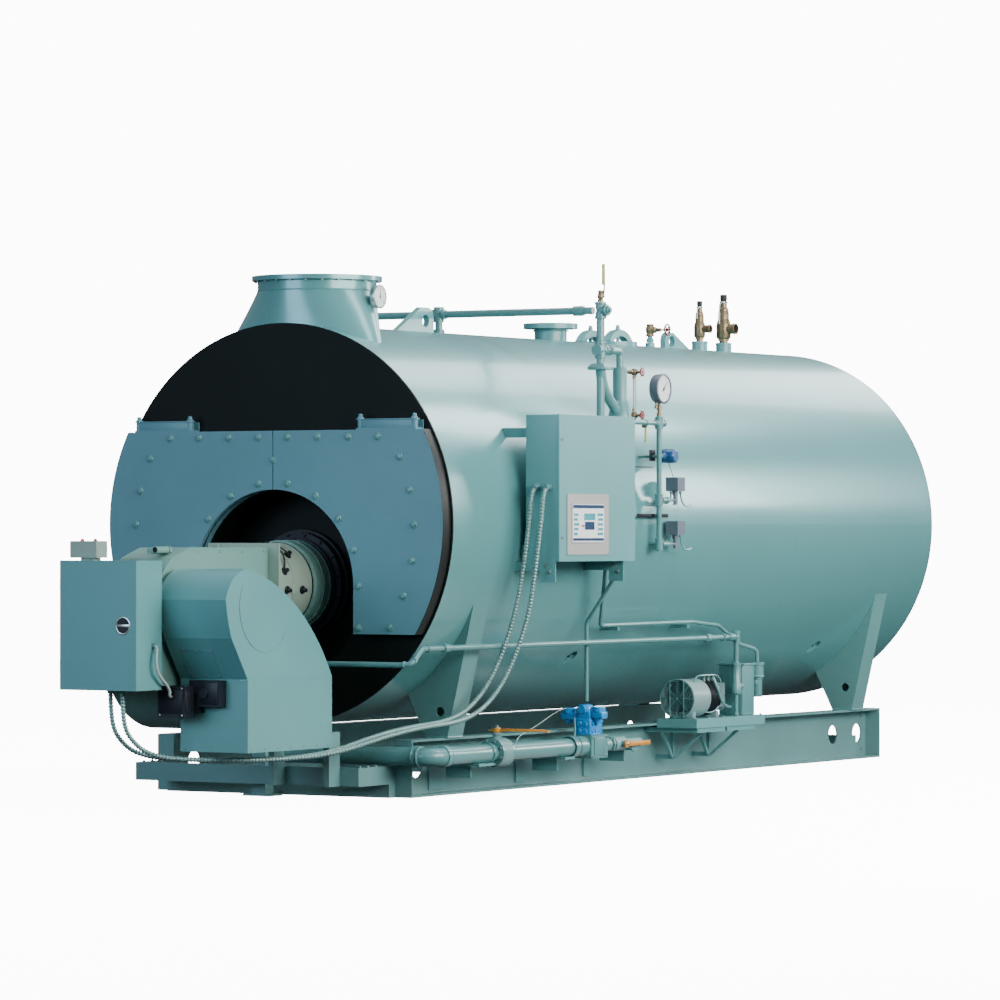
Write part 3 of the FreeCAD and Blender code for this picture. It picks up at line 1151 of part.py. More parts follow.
# ---------------------------------------------------------------- air compressor
def compressor():
    tray = box("tray", ("base_in", "base_out"), ("base_front", "base_back"), ("base_low", "base_high"))
    shelves = [box(f"tray_shelf_{i}", ("web_x + web_plate + 1", "base_out - 10"), (y0, y1),
                   ("base_low - 31", "base_low"))
               for i, (y0, y1) in enumerate((("base_front + 30", "base_front + 410"),
                                             ("base_front + 440", "base_front + 830")))]
    braces = [tray] + shelves
    for i, y in enumerate(("base_front + 120", "base_front + 620")):
        upright = box(f"brace_up_{i}", ("web_x + flange_width + 3", "web_x + flange_width + 23"),
                      (f"{y} + 60", f"{y} + 80"), ("110", "base_low - 20"))
        slant = prism(f"brace_slant_{i}", "XZ",
                      [("web_x + flange_width + 3", "110"), ("web_x + flange_width + 30", "110"),
                       ("base_out - 40", "base_low - 25"), ("base_out - 70", "base_low - 25")],
                      f"{y} + 60", "20")
        rear = prism(f"brace_rear_{i}", "YZ",
                     [(f"{y} + 60", "110"), (f"{y} + 80", "110"), (f"{y} - 60", "base_low - 25"),
                      (f"{y} - 90", "base_low - 25")],
                     "web_x + flange_width + 3", "20")
        foot = box(f"brace_foot_{i}", ("web_x + web_plate", "web_x + flange_width + 23"),
                   (f"{y} + 60", f"{y} + 80"), ("110", "140"))
        braces += [upright, slant, rear, foot]
    keep(fuse("tray_braces", braces), "compressor_shelf")

    mid_x = "(base_in + base_out) / 2 - 11"
    axis_z = "base_high + fan_r + 2"
    barrel = cylinder("fan_barrel", "Y", "fan_r", (mid_x, "base_front + 20", axis_z), "250")
    belly = cylinder("fan_belly", "Y", "fan_r - 16", (mid_x, "base_front + 270", axis_z), "190")
    feet = [box(f"fan_foot_{i}", (f"{mid_x} - 90", f"{mid_x} + 90"), (y, f"{y} + 40"),
                ("base_high", "base_high + 60"))
            for i, y in enumerate(("base_front + 60", "base_front + 380"))]
    keep(fuse("air_pump", [barrel, belly] + feet), "compressor_motor")

    tank_x = ("base_out - 240", "base_out - 50")
    tank = box("air_tank", tank_x, ("base_back - 220", "base_back - 50"), ("base_high", "base_high + 350"))
    riser_y = "base_back - 300"
    post = cylinder("post_thin", "Z", "17", ("air_x", riser_y, "base_high + 240"), "air_z - base_high - 240")
    jar = cylinder("post_jar", "Z", "30", ("air_x", riser_y, "base_high + 140"), "210")
    arm = cylinder("post_arm", "Y", "17", ("air_x", riser_y, "base_high + 200"), "79")
    legs = cylinder("post_leg", "Z", "12", ("air_x", riser_y, "base_high"), "150")
    tee = fitting("post_tee", "Z", "27", ("air_x", riser_y, "air_z"), "40")
    riser = fuse("air_post", [post, jar, arm, legs, tee])
    filter_y = "base_back"
    bowl = cylinder("filter_bowl", "Z", "49", ("air_x", filter_y, "base_high + 250"), "105")
    stem = cylinder("filter_stem", "Z", "34", ("air_x", filter_y, "base_high + 120"), "140")
    hook = box("filter_hook", ("air_x - 20", "air_x + 20"), ("base_back - 50 + seat_gap", filter_y),
               ("base_high + 200", "base_high + 230"))
    keep(group("air_set", [tank, riser, fuse("filter", [bowl, stem, hook])]), "air_tank_and_filters")

    post_face = f"{riser_y} - 27 - seat_gap"
    line = pipe("air_line_body", [("air_x", post_face, "air_z"), ("air_x", "-250", "air_z"),
                                  ("air_x", "-375", "air_z - 95"), ("200", "-375", "air_z - 95"),
                                  ("0", "-375", "air_z - 60"), ("0", "-375", f"{BURNER_Z} - drum_r - 1")],
                "air_r", "45")
    unions = [fitting("air_union_a", "Y", "air_r + 9", ("air_x", "20", "air_z"), "26"),
              fitting("air_union_b", "Y", "air_r + 9", ("air_x", "3350", "air_z"), "26")]
    keep(fuse("air_line", [line] + unions), "air_pipe")


# ---------------------------------------------------------------- conduits
def conduits():
    panel_face = f"panel_front - seat_gap"
    flexes = []
    for i, shift in enumerate((0, 86)):
        x = f"{PANEL_X} + {80 + shift}"
        lift = 24 * i
        end_x = str(85 * i - 10)
        route = [(x, panel_face, "panel_low + 461"), (x, "panel_front - 62", "panel_low + 461"),
                 (x, "panel_front - 96", "panel_low + 250"), (f"{x} - 30", "panel_front - 110", "panel_low - 30"),
                 (f"{x} - 90", f"panel_front - {112 - lift}", "panel_low - 320"),
                 (f"{x} - 170", f"panel_front - {140 - lift}", "panel_low - 580"),
                 (f"{x} - 235", f"panel_front - {225 - lift}", "panel_low - 790"),
                 (f"{x} - 270", f"panel_front - {400 - lift}", "panel_low - 925"),
                 (f"{x} - 290", f"panel_front - {640 - lift}", "panel_low - 985"),
                 (f"{x} - 330", "-160", "444"), (f"{x} - 400", "-440", "400"),
                 (str(820 + 50 * i), "-760", "292"), (str(600 + 50 * i), "-1120", "270"),
                 (str(330 + 60 * i), "-1440", "276"), (end_x + " + 90", "-1640", "300"),
                 (end_x + " + 16", "-1770", "420"), (end_x, "-1800", "560"),
                 (end_x, "-1800", "cab_low - seat_gap")]
        flexes.append(pipe(f"flex_{i}", route, "flex_r", "150"))

    valve_top = "gas_z + 286 + seat_gap"
    first = pipe("conduit_gas", [(f"{PANEL_X} + 150", "panel_back - 16", "panel_low - seat_gap"),
                                 (f"{PANEL_X} + 150", "panel_back - 16", "panel_low - 40"),
                                 ("gas_x", "1802", "panel_low - 400"), ("gas_x", "1802", valve_top)],
                 "conduit_r", "60")
    second = pipe("conduit_air", [(f"{PANEL_X} + 60", "panel_back - 60", "panel_low - seat_gap"),
                                  (f"{PANEL_X} + 60", "panel_back - 60", "panel_low - 40"),
                                  ("gas_x + 30", "1925", "air_z + 106"), ("gas_x + 30", "2080", "air_z + 106"),
                                  ("gas_x + 30", "3150", "air_z + 110"), ("gas_x + 4", "3560", "air_z + 80"),
                                  ("air_x - 52", "3880", "air_z - 50"),
                                  ("air_x", "base_back", "base_high + 440"),
                                  ("air_x", "base_back", "base_high + 355 + seat_gap")],
                  "conduit_r", "50")
    clips = []
    for i, y in enumerate(("2150", "3080")):
        clip = box(f"clip_{i}", ("jacket_r - 300", "gas_x + 30"), (y, f"{y} + 30"),
                   ("air_z + 70", "air_z + 92"))
        clips.append(cut(f"clip_cut_{i}", clip, [drum_tool(f"clip_seat_{i}")]))
    keep(group("rigid_set", [first, second] + clips), "rigid_conduits")

    lead = pipe("actuator_lead", [("cab_right + seat_gap", "-cab_back - 90", "960"),
                                ("cab_right + 30", "-cab_back - 90", "960"),
                                ("cab_right + 36", "-cab_back - 84", "880"),
                                ("cab_right + 40", "-cab_back - 60", "800"),
                                ("cab_right + 36", "-inlet_front - 210", "700"),
                                ("cab_right + 30", "-inlet_front - 214", "655"),
                                ("cab_right + 30", "-inlet_front - 179 - seat_gap", "655")],
                "9", "70")
    keep(group("flex_set", flexes + [lead]), "flexible_conduits")


def check_document():
    doc.recompute()
    for feature in doc.Objects:
        bad = [word for word in feature.State if word in ("Invalid", "Error")]
        if bad:
            raise RuntimeError(f"{feature.Name} is {bad}")
    for feature in parts:
        shape = feature.Shape
        if shape.isNull() or not shape.isValid() or not shape.Solids:
            raise RuntimeError(f"{feature.Label} has no valid solid")


def write_parts():
    os.makedirs("parts", exist_ok=True)
    for feature in parts:
        feature.Shape.exportStep(os.path.join("parts", f"{feature.Label}.step"))
        print(f"{feature.Label}: {len(feature.Shape.Solids)} solid(s), "
              f"{feature.Shape.Volume / 1e9:.4f} m3")


for build in (drum, hand_hole_covers, front_doors, stack, lifting_lugs, steam_nozzle, manway):
    build()
for build in (relief_valves, vent_valve, skid, saddles, burner, inlet_box, burner_cabinet, main_cabinet, header,
              trim, gas_train, compressor, conduits):
    build()
check_document()
write_parts()
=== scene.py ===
"""Looks of the packaged fire-tube boiler: finishes, fasteners, dials, hoses, valves and its studio.

Lengths are in millimetres while a piece is being made, in the row frame, and are turned to metres
when it is finished.
"""
import logging
import math
from dataclasses import dataclass, field
from enum import Enum

import bmesh
import bpy
from mathutils import Matrix, Vector


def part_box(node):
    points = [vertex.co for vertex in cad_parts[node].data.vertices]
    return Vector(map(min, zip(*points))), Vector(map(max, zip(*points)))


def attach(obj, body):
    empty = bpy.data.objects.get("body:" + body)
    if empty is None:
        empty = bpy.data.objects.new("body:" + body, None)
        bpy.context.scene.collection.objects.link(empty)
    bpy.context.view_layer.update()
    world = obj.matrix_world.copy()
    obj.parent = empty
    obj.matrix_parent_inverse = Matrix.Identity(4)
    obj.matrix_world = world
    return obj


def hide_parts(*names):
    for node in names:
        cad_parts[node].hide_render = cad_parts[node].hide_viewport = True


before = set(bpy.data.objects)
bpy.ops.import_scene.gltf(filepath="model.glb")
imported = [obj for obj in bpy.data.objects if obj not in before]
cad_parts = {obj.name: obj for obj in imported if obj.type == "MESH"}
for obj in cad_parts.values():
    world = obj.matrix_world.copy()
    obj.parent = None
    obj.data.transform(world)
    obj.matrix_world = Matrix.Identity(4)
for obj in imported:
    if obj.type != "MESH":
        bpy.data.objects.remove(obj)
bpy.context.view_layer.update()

LOG = logging.getLogger("boiler")
MILLIMETRE = 0.001
FULL_TURN = 2 * math.pi
Point = tuple[float, float, float]


def linked(name: str, data: bpy.types.ID) -> bpy.types.Object:
    """A new object in the scene.

    Args:
        name: of the object.
        data: its mesh, curve, light or camera.

    Returns:
        The object.
    """
    made = bpy.data.objects.new(name, data)
    bpy.context.scene.collection.objects.link(made)
    return made


class Axis(Enum):
    """Directions a turned or bolted piece can point in."""

    RIGHT = (1, 0, 0)
    LEFT = (-1, 0, 0)
    BACK = (0, 1, 0)
    FRONT = (0, -1, 0)
    UP = (0, 0, 1)
    DOWN = (0, 0, -1)


class Texture(Enum):
    """The small-scale relief of a finish."""

    PEEL = "sprayed enamel"
    CAST = "sand casting"
    BRUSHED = "drawn metal"
    SMOOTH = "moulded"


# ---------------------------------------------------------------- finishes
@dataclass(frozen=True)
class Finish:
    """A procedural surface: its colour with broad mottling, its gloss and its fine relief."""

    name: str
    slot: str
    colour: Point
    roughness: float = 0.35
    metallic: float = 0.0
    coat: float = 0.0
    mottle: float = 0.05
    mottle_scale: float = 1.3
    relief: Texture = Texture.PEEL
    bump: float = 0.06
    dust: float = 0.0
    alpha: float = 1.0
    glow: float = 0.0
    shine: float = 0.5
    black_past: float = 0.0

    GRAIN = {Texture.PEEL: 260.0, Texture.CAST: 120.0, Texture.BRUSHED: 90.0,
             Texture.SMOOTH: 400.0}
    BLUR = 0.025
    AXIS_HEIGHT = 1.678
    COAT_BLUR = 0.12
    MOTTLE_BAND = (0.32, 0.68)
    DUST_TOP = 0.9
    DUST_COLOUR = (0.16, 0.17, 0.16, 1)
    BLACK_COLOUR = (0.006, 0.008, 0.008, 1)
    DRAWN = (1.0, 1.0, 14.0)

    def material(self) -> bpy.types.Material:
        """The Blender material of this finish, made once.

        Returns:
            The material, shared by every piece with this finish.
        """
        found = bpy.data.materials.get(self.name)
        if found:
            return found
        material = bpy.data.materials.new(self.name)
        material.use_nodes = True
        tree = material.node_tree
        shader = tree.nodes["Principled BSDF"]
        place = tree.nodes.new("ShaderNodeTexCoord")
        coords = place.outputs["Object"]
        shader.inputs["Base Color"].default_value = (*self.colour, 1)
        shader.inputs["Metallic"].default_value = self.metallic
        shader.inputs["Coat Weight"].default_value = self.coat
        shader.inputs["Coat Roughness"].default_value = self.COAT_BLUR
        shader.inputs["Alpha"].default_value = self.alpha
        shader.inputs["Specular IOR Level"].default_value = self.shine
        if self.glow:
            shader.inputs["Emission Color"].default_value = (*self.colour, 1)
            shader.inputs["Emission Strength"].default_value = self.glow
        tint = self._tint(tree, coords)
        if self.black_past:
            tint = self._blackened(tree, coords, tint)
        tree.links.new(tint, shader.inputs["Base Color"])
        self._gloss(tree, coords, shader)
        self._relief(tree, coords, shader)
        return material

    def _noise(self, tree: bpy.types.NodeTree, coords: bpy.types.NodeSocket, scale: float,
               detail: float) -> bpy.types.NodeSocket:
        """A noise pattern of that scale, per metre.

        Args:
            tree: the material's nodes.
            coords: where the pattern reads its place.
            scale: cells per metre.
            detail: octaves of finer noise.

        Returns:
            The noise's value socket.
        """
        noise = tree.nodes.new("ShaderNodeTexNoise")
        noise.inputs["Scale"].default_value = scale
        noise.inputs["Detail"].default_value = detail
        tree.links.new(coords, noise.inputs["Vector"])
        return noise.outputs["Fac"]

    def _tint(self, tree: bpy.types.NodeTree,
              coords: bpy.types.NodeSocket) -> bpy.types.NodeSocket:
        """Mottled colour, with dust on the low parts where the finish has any.

        Args:
            tree: the material's nodes.
            coords: where the pattern reads its place.

        Returns:
            The colour socket.
        """
        ramp = tree.nodes.new("ShaderNodeValToRGB")
        low, high = ramp.color_ramp.elements
        low.position, high.position = self.MOTTLE_BAND
        low.color = (*(c * (1 - self.mottle) for c in self.colour), 1)
        high.color = (*(min(1.0, c * (1 + self.mottle)) for c in self.colour), 1)
        tree.links.new(self._noise(tree, coords, self.mottle_scale, 5.0), ramp.inputs["Fac"])
        if not self.dust:
            return ramp.outputs["Color"]
        split = tree.nodes.new("ShaderNodeSeparateXYZ")
        tree.links.new(coords, split.inputs["Vector"])
        height = tree.nodes.new("ShaderNodeMapRange")
        height.inputs["From Min"].default_value = 0.0
        height.inputs["From Max"].default_value = self.DUST_TOP
        height.inputs["To Min"].default_value = self.dust
        height.inputs["To Max"].default_value = 0.0
        tree.links.new(split.outputs["Z"], height.inputs["Value"])
        patches = tree.nodes.new("ShaderNodeMath")
        patches.operation = "MULTIPLY"
        tree.links.new(height.outputs["Result"], patches.inputs[0])
        tree.links.new(self._noise(tree, coords, 9.0, 6.0), patches.inputs[1])
        mix = tree.nodes.new("ShaderNodeMix")
        mix.data_type = "RGBA"
        mix.inputs["B"].default_value = self.DUST_COLOUR
        tree.links.new(patches.outputs["Value"], mix.inputs["Factor"])
        tree.links.new(ramp.outputs["Color"], mix.inputs["A"])
        return mix.outputs["Result"]

    def _blackened(self, tree: bpy.types.NodeTree, coords: bpy.types.NodeSocket,
                   tint: bpy.types.NodeSocket) -> bpy.types.NodeSocket:
        """Black paint on what lies further from the drum's axis than the finish's limit.

        Args:
            tree: the material's nodes.
            coords: where the pattern reads its place.
            tint: the colour inside the limit.

        Returns:
            The colour socket.
        """
        flat = tree.nodes.new("ShaderNodeVectorMath")
        flat.operation = "MULTIPLY"
        flat.inputs[1].default_value = (1, 0, 1)
        tree.links.new(coords, flat.inputs[0])
        reach = tree.nodes.new("ShaderNodeVectorMath")
        reach.operation = "DISTANCE"
        reach.inputs[1].default_value = (0, 0, self.AXIS_HEIGHT)
        tree.links.new(flat.outputs["Vector"], reach.inputs[0])
        past = tree.nodes.new("ShaderNodeMath")
        past.operation = "GREATER_THAN"
        past.inputs[1].default_value = self.black_past
        tree.links.new(reach.outputs["Value"], past.inputs[0])
        mix = tree.nodes.new("ShaderNodeMix")
        mix.data_type = "RGBA"
        mix.inputs["B"].default_value = self.BLACK_COLOUR
        tree.links.new(past.outputs["Value"], mix.inputs["Factor"])
        tree.links.new(tint, mix.inputs["A"])
        return mix.outputs["Result"]

    def _gloss(self, tree: bpy.types.NodeTree, coords: bpy.types.NodeSocket,
               shader: bpy.types.Node) -> None:
        """Roughness that wanders a little, as a sprayed or handled surface does.

        Args:
            tree: the material's nodes.
            coords: where the pattern reads its place.
            shader: the node that takes it.
        """
        wander = tree.nodes.new("ShaderNodeMapRange")
        wander.inputs["To Min"].default_value = max(0.03, self.roughness - self.BLUR)
        wander.inputs["To Max"].default_value = min(1.0, self.roughness + self.BLUR)
        tree.links.new(self._noise(tree, coords, 7.0, 4.0), wander.inputs["Value"])
        tree.links.new(wander.outputs["Result"], shader.inputs["Roughness"])

    def _relief(self, tree: bpy.types.NodeTree, coords: bpy.types.NodeSocket,
                shader: bpy.types.Node) -> None:
        """Fine relief: orange peel, casting sand or drawing lines.

        Args:
            tree: the material's nodes.
            coords: where the pattern reads its place.
            shader: the node that takes it.
        """
        if self.relief is Texture.BRUSHED:
            stretch = tree.nodes.new("ShaderNodeMapping")
            stretch.inputs["Scale"].default_value = self.DRAWN
            tree.links.new(coords, stretch.inputs["Vector"])
            coords = stretch.outputs["Vector"]
        bump = tree.nodes.new("ShaderNodeBump")
        bump.inputs["Strength"].default_value = self.bump
        bump.inputs["Distance"].default_value = 0.001
        tree.links.new(self._noise(tree, coords, self.GRAIN[self.relief], 2.0),
                       bump.inputs["Height"])
        tree.links.new(bump.outputs["Normal"], shader.inputs["Normal"])


PAINT = Finish("turquoise_enamel", "turquoise_paint", (0.122, 0.335, 0.352), 0.34, coat=0.25,
               dust=0.3)
JACKET = Finish("jacket_enamel", "turquoise_paint", (0.122, 0.335, 0.350), 0.29, 0.18, coat=0.3,
                mottle=0.04, mottle_scale=0.8, bump=0.05)
HEADER = Finish("pipe_enamel", "turquoise_paint", (0.105, 0.265, 0.275), 0.30, coat=0.3,
                relief=Texture.CAST, bump=0.08)
FRAME = Finish("frame_enamel", "turquoise_paint", (0.118, 0.285, 0.290), 0.36, coat=0.15, dust=0.4,
               mottle=0.10)
HOUSING = Finish("housing_enamel", "turquoise_paint", (0.165, 0.330, 0.300), 0.36, coat=0.2,
                 dust=0.2)
DOOR = Finish("door_enamel", "turquoise_paint", (0.110, 0.262, 0.325), 0.45, coat=0.05,
              mottle=0.07,
              bump=0.10, shine=0.35, black_past=1.2385)
CREAM = Finish("cream_enamel", "cream_paint", (0.30, 0.385, 0.325), 0.36, coat=0.2)
BLACK = Finish("black_enamel_satin", "black_enamel", (0.004, 0.006, 0.0055), 0.5, mottle=0.25,
               shine=0.14,
               relief=Texture.CAST, bump=0.05)
DARK = Finish("dark_satin", "dark_steel", (0.010, 0.013, 0.020), 0.42, mottle=0.2, shine=0.3)
# Painted shade: a near-black matt finish for discs set inside open bores and wells, standing in for
# the shade in their hollows.
SHADOW = Finish("painted_shade_mouth", "dark_steel", (0.004, 0.004, 0.004), 0.8, mottle=0.2)
PLATE = Finish("mill_plate", "boiler_plate", (0.05, 0.052, 0.055), 0.5, 0.4, relief=Texture.CAST)
BRONZE = Finish("cast_bronze", "bronze", (0.27, 0.195, 0.115), 0.36, 0.8, mottle=0.2,
                mottle_scale=30.0, relief=Texture.CAST, bump=0.22)
STEEL = Finish("drawn_steel", "instrument_steel", (0.52, 0.54, 0.55), 0.28, 0.95, mottle=0.05,
               mottle_scale=20.0, relief=Texture.BRUSHED, bump=0.1)
ZINC = Finish("zinc_bolt", "instrument_steel", (0.20, 0.29, 0.28), 0.36, 0.4, mottle=0.12,
              mottle_scale=60.0, relief=Texture.CAST, bump=0.1)
CASE = Finish("instrument_grey", "instrument_case", (0.15, 0.18, 0.235), 0.35, 0.25, coat=0.2)
BLUE = Finish("instrument_blue", "blue_plastic", (0.012, 0.085, 0.25), 0.3, coat=0.4)
ACTUATOR = Finish("actuator_blue", "blue_plastic", (0.01, 0.26, 0.66), 0.32, coat=0.4, mottle=0.08,
                  mottle_scale=12.0)
RED = Finish("wheel_red", "orange_lever", (0.20, 0.006, 0.012), 0.32, coat=0.4,
             relief=Texture.CAST)
LAMP = Finish("lamp_red", "orange_lever", (0.6, 0.02, 0.01), 0.2, coat=0.6, relief=Texture.SMOOTH)
ORANGE = Finish("lever_orange", "orange_lever", (0.72, 0.29, 0.035), 0.35, coat=0.3, mottle=0.08,
                mottle_scale=25.0)
YELLOW = Finish("sleeve_yellow", "orange_lever", (0.62, 0.55, 0.03), 0.42, relief=Texture.SMOOTH)
BEZEL = Finish("panel_bezel", "panel_plastic", (0.42, 0.40, 0.40), 0.38, relief=Texture.SMOOTH)
SCREEN = Finish("screen_white", "panel_plastic", (0.80, 0.84, 0.86), 0.2, glow=0.25,
                relief=Texture.SMOOTH, mottle=0.01)
INK = Finish("screen_navy", "panel_plastic", (0.02, 0.05, 0.12), 0.25, relief=Texture.SMOOTH)
TEAL = Finish("screen_teal", "panel_plastic", (0.05, 0.35, 0.40), 0.25, relief=Texture.SMOOTH)
DIAL = Finish("dial_white", "instrument_steel", (0.80, 0.80, 0.80), 0.3, relief=Texture.SMOOTH,
              mottle=0.01)
GLASS = Finish("gauge_glass_clear", "clear_glass", (0.75, 0.80, 0.78), 0.06, coat=0.5,
               relief=Texture.SMOOTH, alpha=0.4)
RUBBER = Finish("black_rubber", "dark_steel", (0.012, 0.013, 0.014), 0.6, relief=Texture.SMOOTH)
SLEEVE = Finish("sleeve_grey", "conduit_sleeve", (0.20, 0.34, 0.33), 0.34, 0.2, coat=0.2)
PALE = Finish("sleeve_pale", "conduit_sleeve", (0.40, 0.46, 0.46), 0.42)
CASTING = Finish("valve_casting", "cast_valve", (0.17, 0.33, 0.34), 0.42, relief=Texture.CAST,
                 bump=0.2)
MACHINE = Finish("machine_grey", "compressor_paint", (0.20, 0.31, 0.32), 0.4, coat=0.1)

NODE_FINISHES: dict[Finish, str] = {
    JACKET: "lagging_jacket rear_head rear_door stack_outlet",
    DOOR: "front_door_right front_door_left door_brackets",
    BLACK: "front_head hand_hole_covers",
    PLATE: "pressure_shell",
    FRAME: "skid_beam_right skid_beam_left skid_cross_members front_frame burner_stand saddles",
    PAINT: "lifting_lugs steam_nozzle manway_ring manway_cover manway_yokes relief_valve_couplings"
           " fan_motor air_inlet_box burner_cabinet burner_cabinet_door main_cabinet"
           " main_cabinet_door cabinet_brackets gas_pipe_supports compressor_shelf",
    CREAM: "burner_drum signal_boxes",
    HOUSING: "fan_housing",
    DARK: "burner_mounting_flange damper_actuator",
    BRONZE: "relief_valves bleed_valve vent_valve",
    STEEL: "stack_thermometer gauge_glass",
    CASE: "pressure_gauge pressure_controls",
    BLUE: "level_transmitter",
    ACTUATOR: "gas_valve_actuators",
    BEZEL: "touch_panel",
    HEADER: "header_pipe water_column auxiliary_column gas_pipe gauge_piping air_pipe"
            " rigid_conduits",
    CASTING: "butterfly_valve gas_ball_valve",
    ORANGE: "butterfly_lever gas_ball_valve_lever",
    MACHINE: "compressor_motor air_tank_and_filters",
    SLEEVE: "flexible_conduits",
}


# ---------------------------------------------------------------- mesh making
class Shape:
    """One mesh under construction, in millimetres, at its place in the row frame."""

    DEFAULT_STEPS = 32
    MERGE = 0.01

    def __init__(self) -> None:
        """Starts with nothing in it."""
        self.mesh = bmesh.new()

    def take(self, part: bmesh.types.BMesh) -> None:
        """Adds a finished part and frees it.

        Args:
            part: the part, in place.
        """
        bmesh.ops.remove_doubles(part, verts=part.verts, dist=self.MERGE)
        bmesh.ops.recalc_face_normals(part, faces=part.faces)
        carrier = bpy.data.meshes.new("carrier")
        part.to_mesh(carrier)
        part.free()
        self.mesh.from_mesh(carrier)
        bpy.data.meshes.remove(carrier)

    @staticmethod
    def _way(axis: Axis | Point) -> Vector:
        """The unit vector of an axis.

        Args:
            axis: a named direction, or a free one of any length.

        Returns:
            The vector.
        """
        return Vector(axis.value if isinstance(axis, Axis) else axis).normalized()

    def turned(self, profile: list[tuple[float, float]], at: Point, axis: Axis | Point,
               steps: int = DEFAULT_STEPS, roll: float = 0.0) -> "Shape":
        """A lathe-turned part.

        Args:
            profile: (radius, height) pairs from one end of the axis to the other.
            at: where the axis starts.
            axis: the way heights grow.
            steps: facets round the axis; six makes a hexagon.
            roll: turn about the axis, in degrees.

        Returns:
            This shape.
        """
        way = self._way(axis)
        place = Matrix.Translation(at) @ way.to_track_quat("Z", "Y").to_matrix().to_4x4()
        place = place @ Matrix.Rotation(math.radians(roll), 4, "Z")
        part = bmesh.new()
        verts = [part.verts.new(place @ Vector((r, 0, h))) for r, h in profile]
        edges = [part.edges.new(pair) for pair in zip(verts, verts[1:])]
        bmesh.ops.spin(part, geom=verts + edges, cent=at, axis=way, angle=FULL_TURN, steps=steps,
                       use_merge=True, use_duplicate=False)
        self.take(part)
        return self

    def rod(self, at: Point, axis: Axis | Point, radius: float, length: float,
            edge: float = 1.0, steps: int = DEFAULT_STEPS) -> "Shape":
        """A round bar with eased ends.

        Args:
            at: where it starts.
            axis: the way it runs.
            radius: of the bar.
            length: of the bar.
            edge: width of the easing.
            steps: facets round it.

        Returns:
            This shape.
        """
        return self.turned([(0, 0), (radius - edge, 0), (radius, edge), (radius, length - edge),
                            (radius - edge, length), (0, length)], at, axis, steps)

    def ring(self, at: Point, axis: Axis | Point, inner: float, outer: float, depth: float,
             edge: float = 1.0, steps: int = 48) -> "Shape":
        """A flat ring with eased edges.

        Args:
            at: the centre of its first face.
            axis: the way it is deep.
            inner: radius of the hole.
            outer: radius of the rim.
            depth: along the axis.
            edge: width of the easing.
            steps: facets round it.

        Returns:
            This shape.
        """
        return self.turned([(inner, 0), (outer - edge, 0), (outer, edge), (outer, depth - edge),
                            (outer - edge, depth), (inner, depth), (inner, 0)], at, axis, steps)

    def block(self, low: Point, high: Point, edge: float = 2.0, segments: int = 2) -> "Shape":
        """A box between two corners with eased edges.

        Args:
            low: its lowest corner.
            high: its highest corner.
            edge: width of the easing; zero leaves it sharp.
            segments: facets across the easing.

        Returns:
            This shape.
        """
        part = bmesh.new()
        bmesh.ops.create_cube(part, size=1.0)
        span = Vector(high) - Vector(low)
        bmesh.ops.scale(part, vec=span, verts=part.verts)
        bmesh.ops.translate(part, vec=(Vector(low) + Vector(high)) / 2, verts=part.verts)
        if edge:
            bmesh.ops.bevel(part, geom=part.edges[:], offset=edge, segments=segments, profile=0.5,
                            affect="EDGES", material=-1)
        self.take(part)
        return self

    def bolt(self, at: Point, axis: Axis | Point, size: float = 15.0, washer: float = 1.6,
             head: float = 0.85) -> "Shape":
        """A hexagon head on its washer.

        Args:
            at: the seat's centre.
            axis: the way the head stands.
            size: corner radius of the hexagon.
            washer: washer radius as a share of the size.
            head: head height as a share of the size.

        Returns:
            This shape.
        """
        thin = 0.22 * size
        self.turned([(0, -0.5), (size * washer, -0.5), (size * washer, thin * 0.7),
                     (size * washer - thin * 0.5, thin), (0, thin)], at, axis, 20)
        way = self._way(axis)
        top = head * size
        seat = tuple(Vector(at) + way * thin)
        return self.turned([(0, -0.3), (size, -0.3), (size, top * 0.8), (size * 0.84, top),
                            (size * 0.4, top * 1.04), (0, top * 1.04)], seat, axis, 6)

    def wire(self, points: list[Point], radius: float, closed: bool = False,
             straight: bool = False, sides: int = 3) -> "Shape":
        """A round bar, tube or lead along a smooth line.

        Args:
            points: the line's control points.
            radius: of the bar.
            closed: whether its ends join.
            straight: whether it keeps its corners.
            sides: a quarter's facets.

        Returns:
            This shape.
        """
        holder = Route(points, closed, straight).curve_object(radius, sides)
        made = bpy.data.meshes.new_from_object(holder)
        part = bmesh.new()
        part.from_mesh(made)
        bpy.data.meshes.remove(made)
        Route.discard(holder)
        self.take(part)
        return self

    def bar_ring(self, at: Point, axis: Axis | Point, radius: float, thick: float,
                 steps: int = 40) -> "Shape":
        """A ring of round bar, such as a handwheel's rim.

        Args:
            at: its centre.
            axis: square to the ring.
            radius: of the bar's middle line.
            thick: radius of the bar.
            steps: facets round the ring.

        Returns:
            This shape.
        """
        section = [(radius + thick * math.cos(a), thick * math.sin(a))
                   for a in [i * FULL_TURN / 10 for i in range(11)]]
        return self.turned(section, at, axis, steps)

    def finish(self, name: str, finish: Finish, body: str = "base", *stands_for: str,
               angle: float = 35.0) -> bpy.types.Object:
        """Turns the shape into a piece that rides on a body.

        Args:
            name: of the piece.
            finish: its surface.
            body: the CAD body that carries it.
            stands_for: CAD nodes that it replaces.
            angle: edges sharper than this stay crisp, in degrees.

        Returns:
            The piece.
        """
        bmesh.ops.scale(self.mesh, vec=(MILLIMETRE,) * 3, verts=self.mesh.verts)
        data = bpy.data.meshes.new(name)
        self.mesh.to_mesh(data)
        self.mesh.free()
        data.shade_smooth()
        data.set_sharp_from_angle(angle=math.radians(angle))
        data.materials.append(finish.material())
        piece = linked(name, data)
        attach(piece, body)
        if stands_for:
            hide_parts(*stands_for)
        return piece


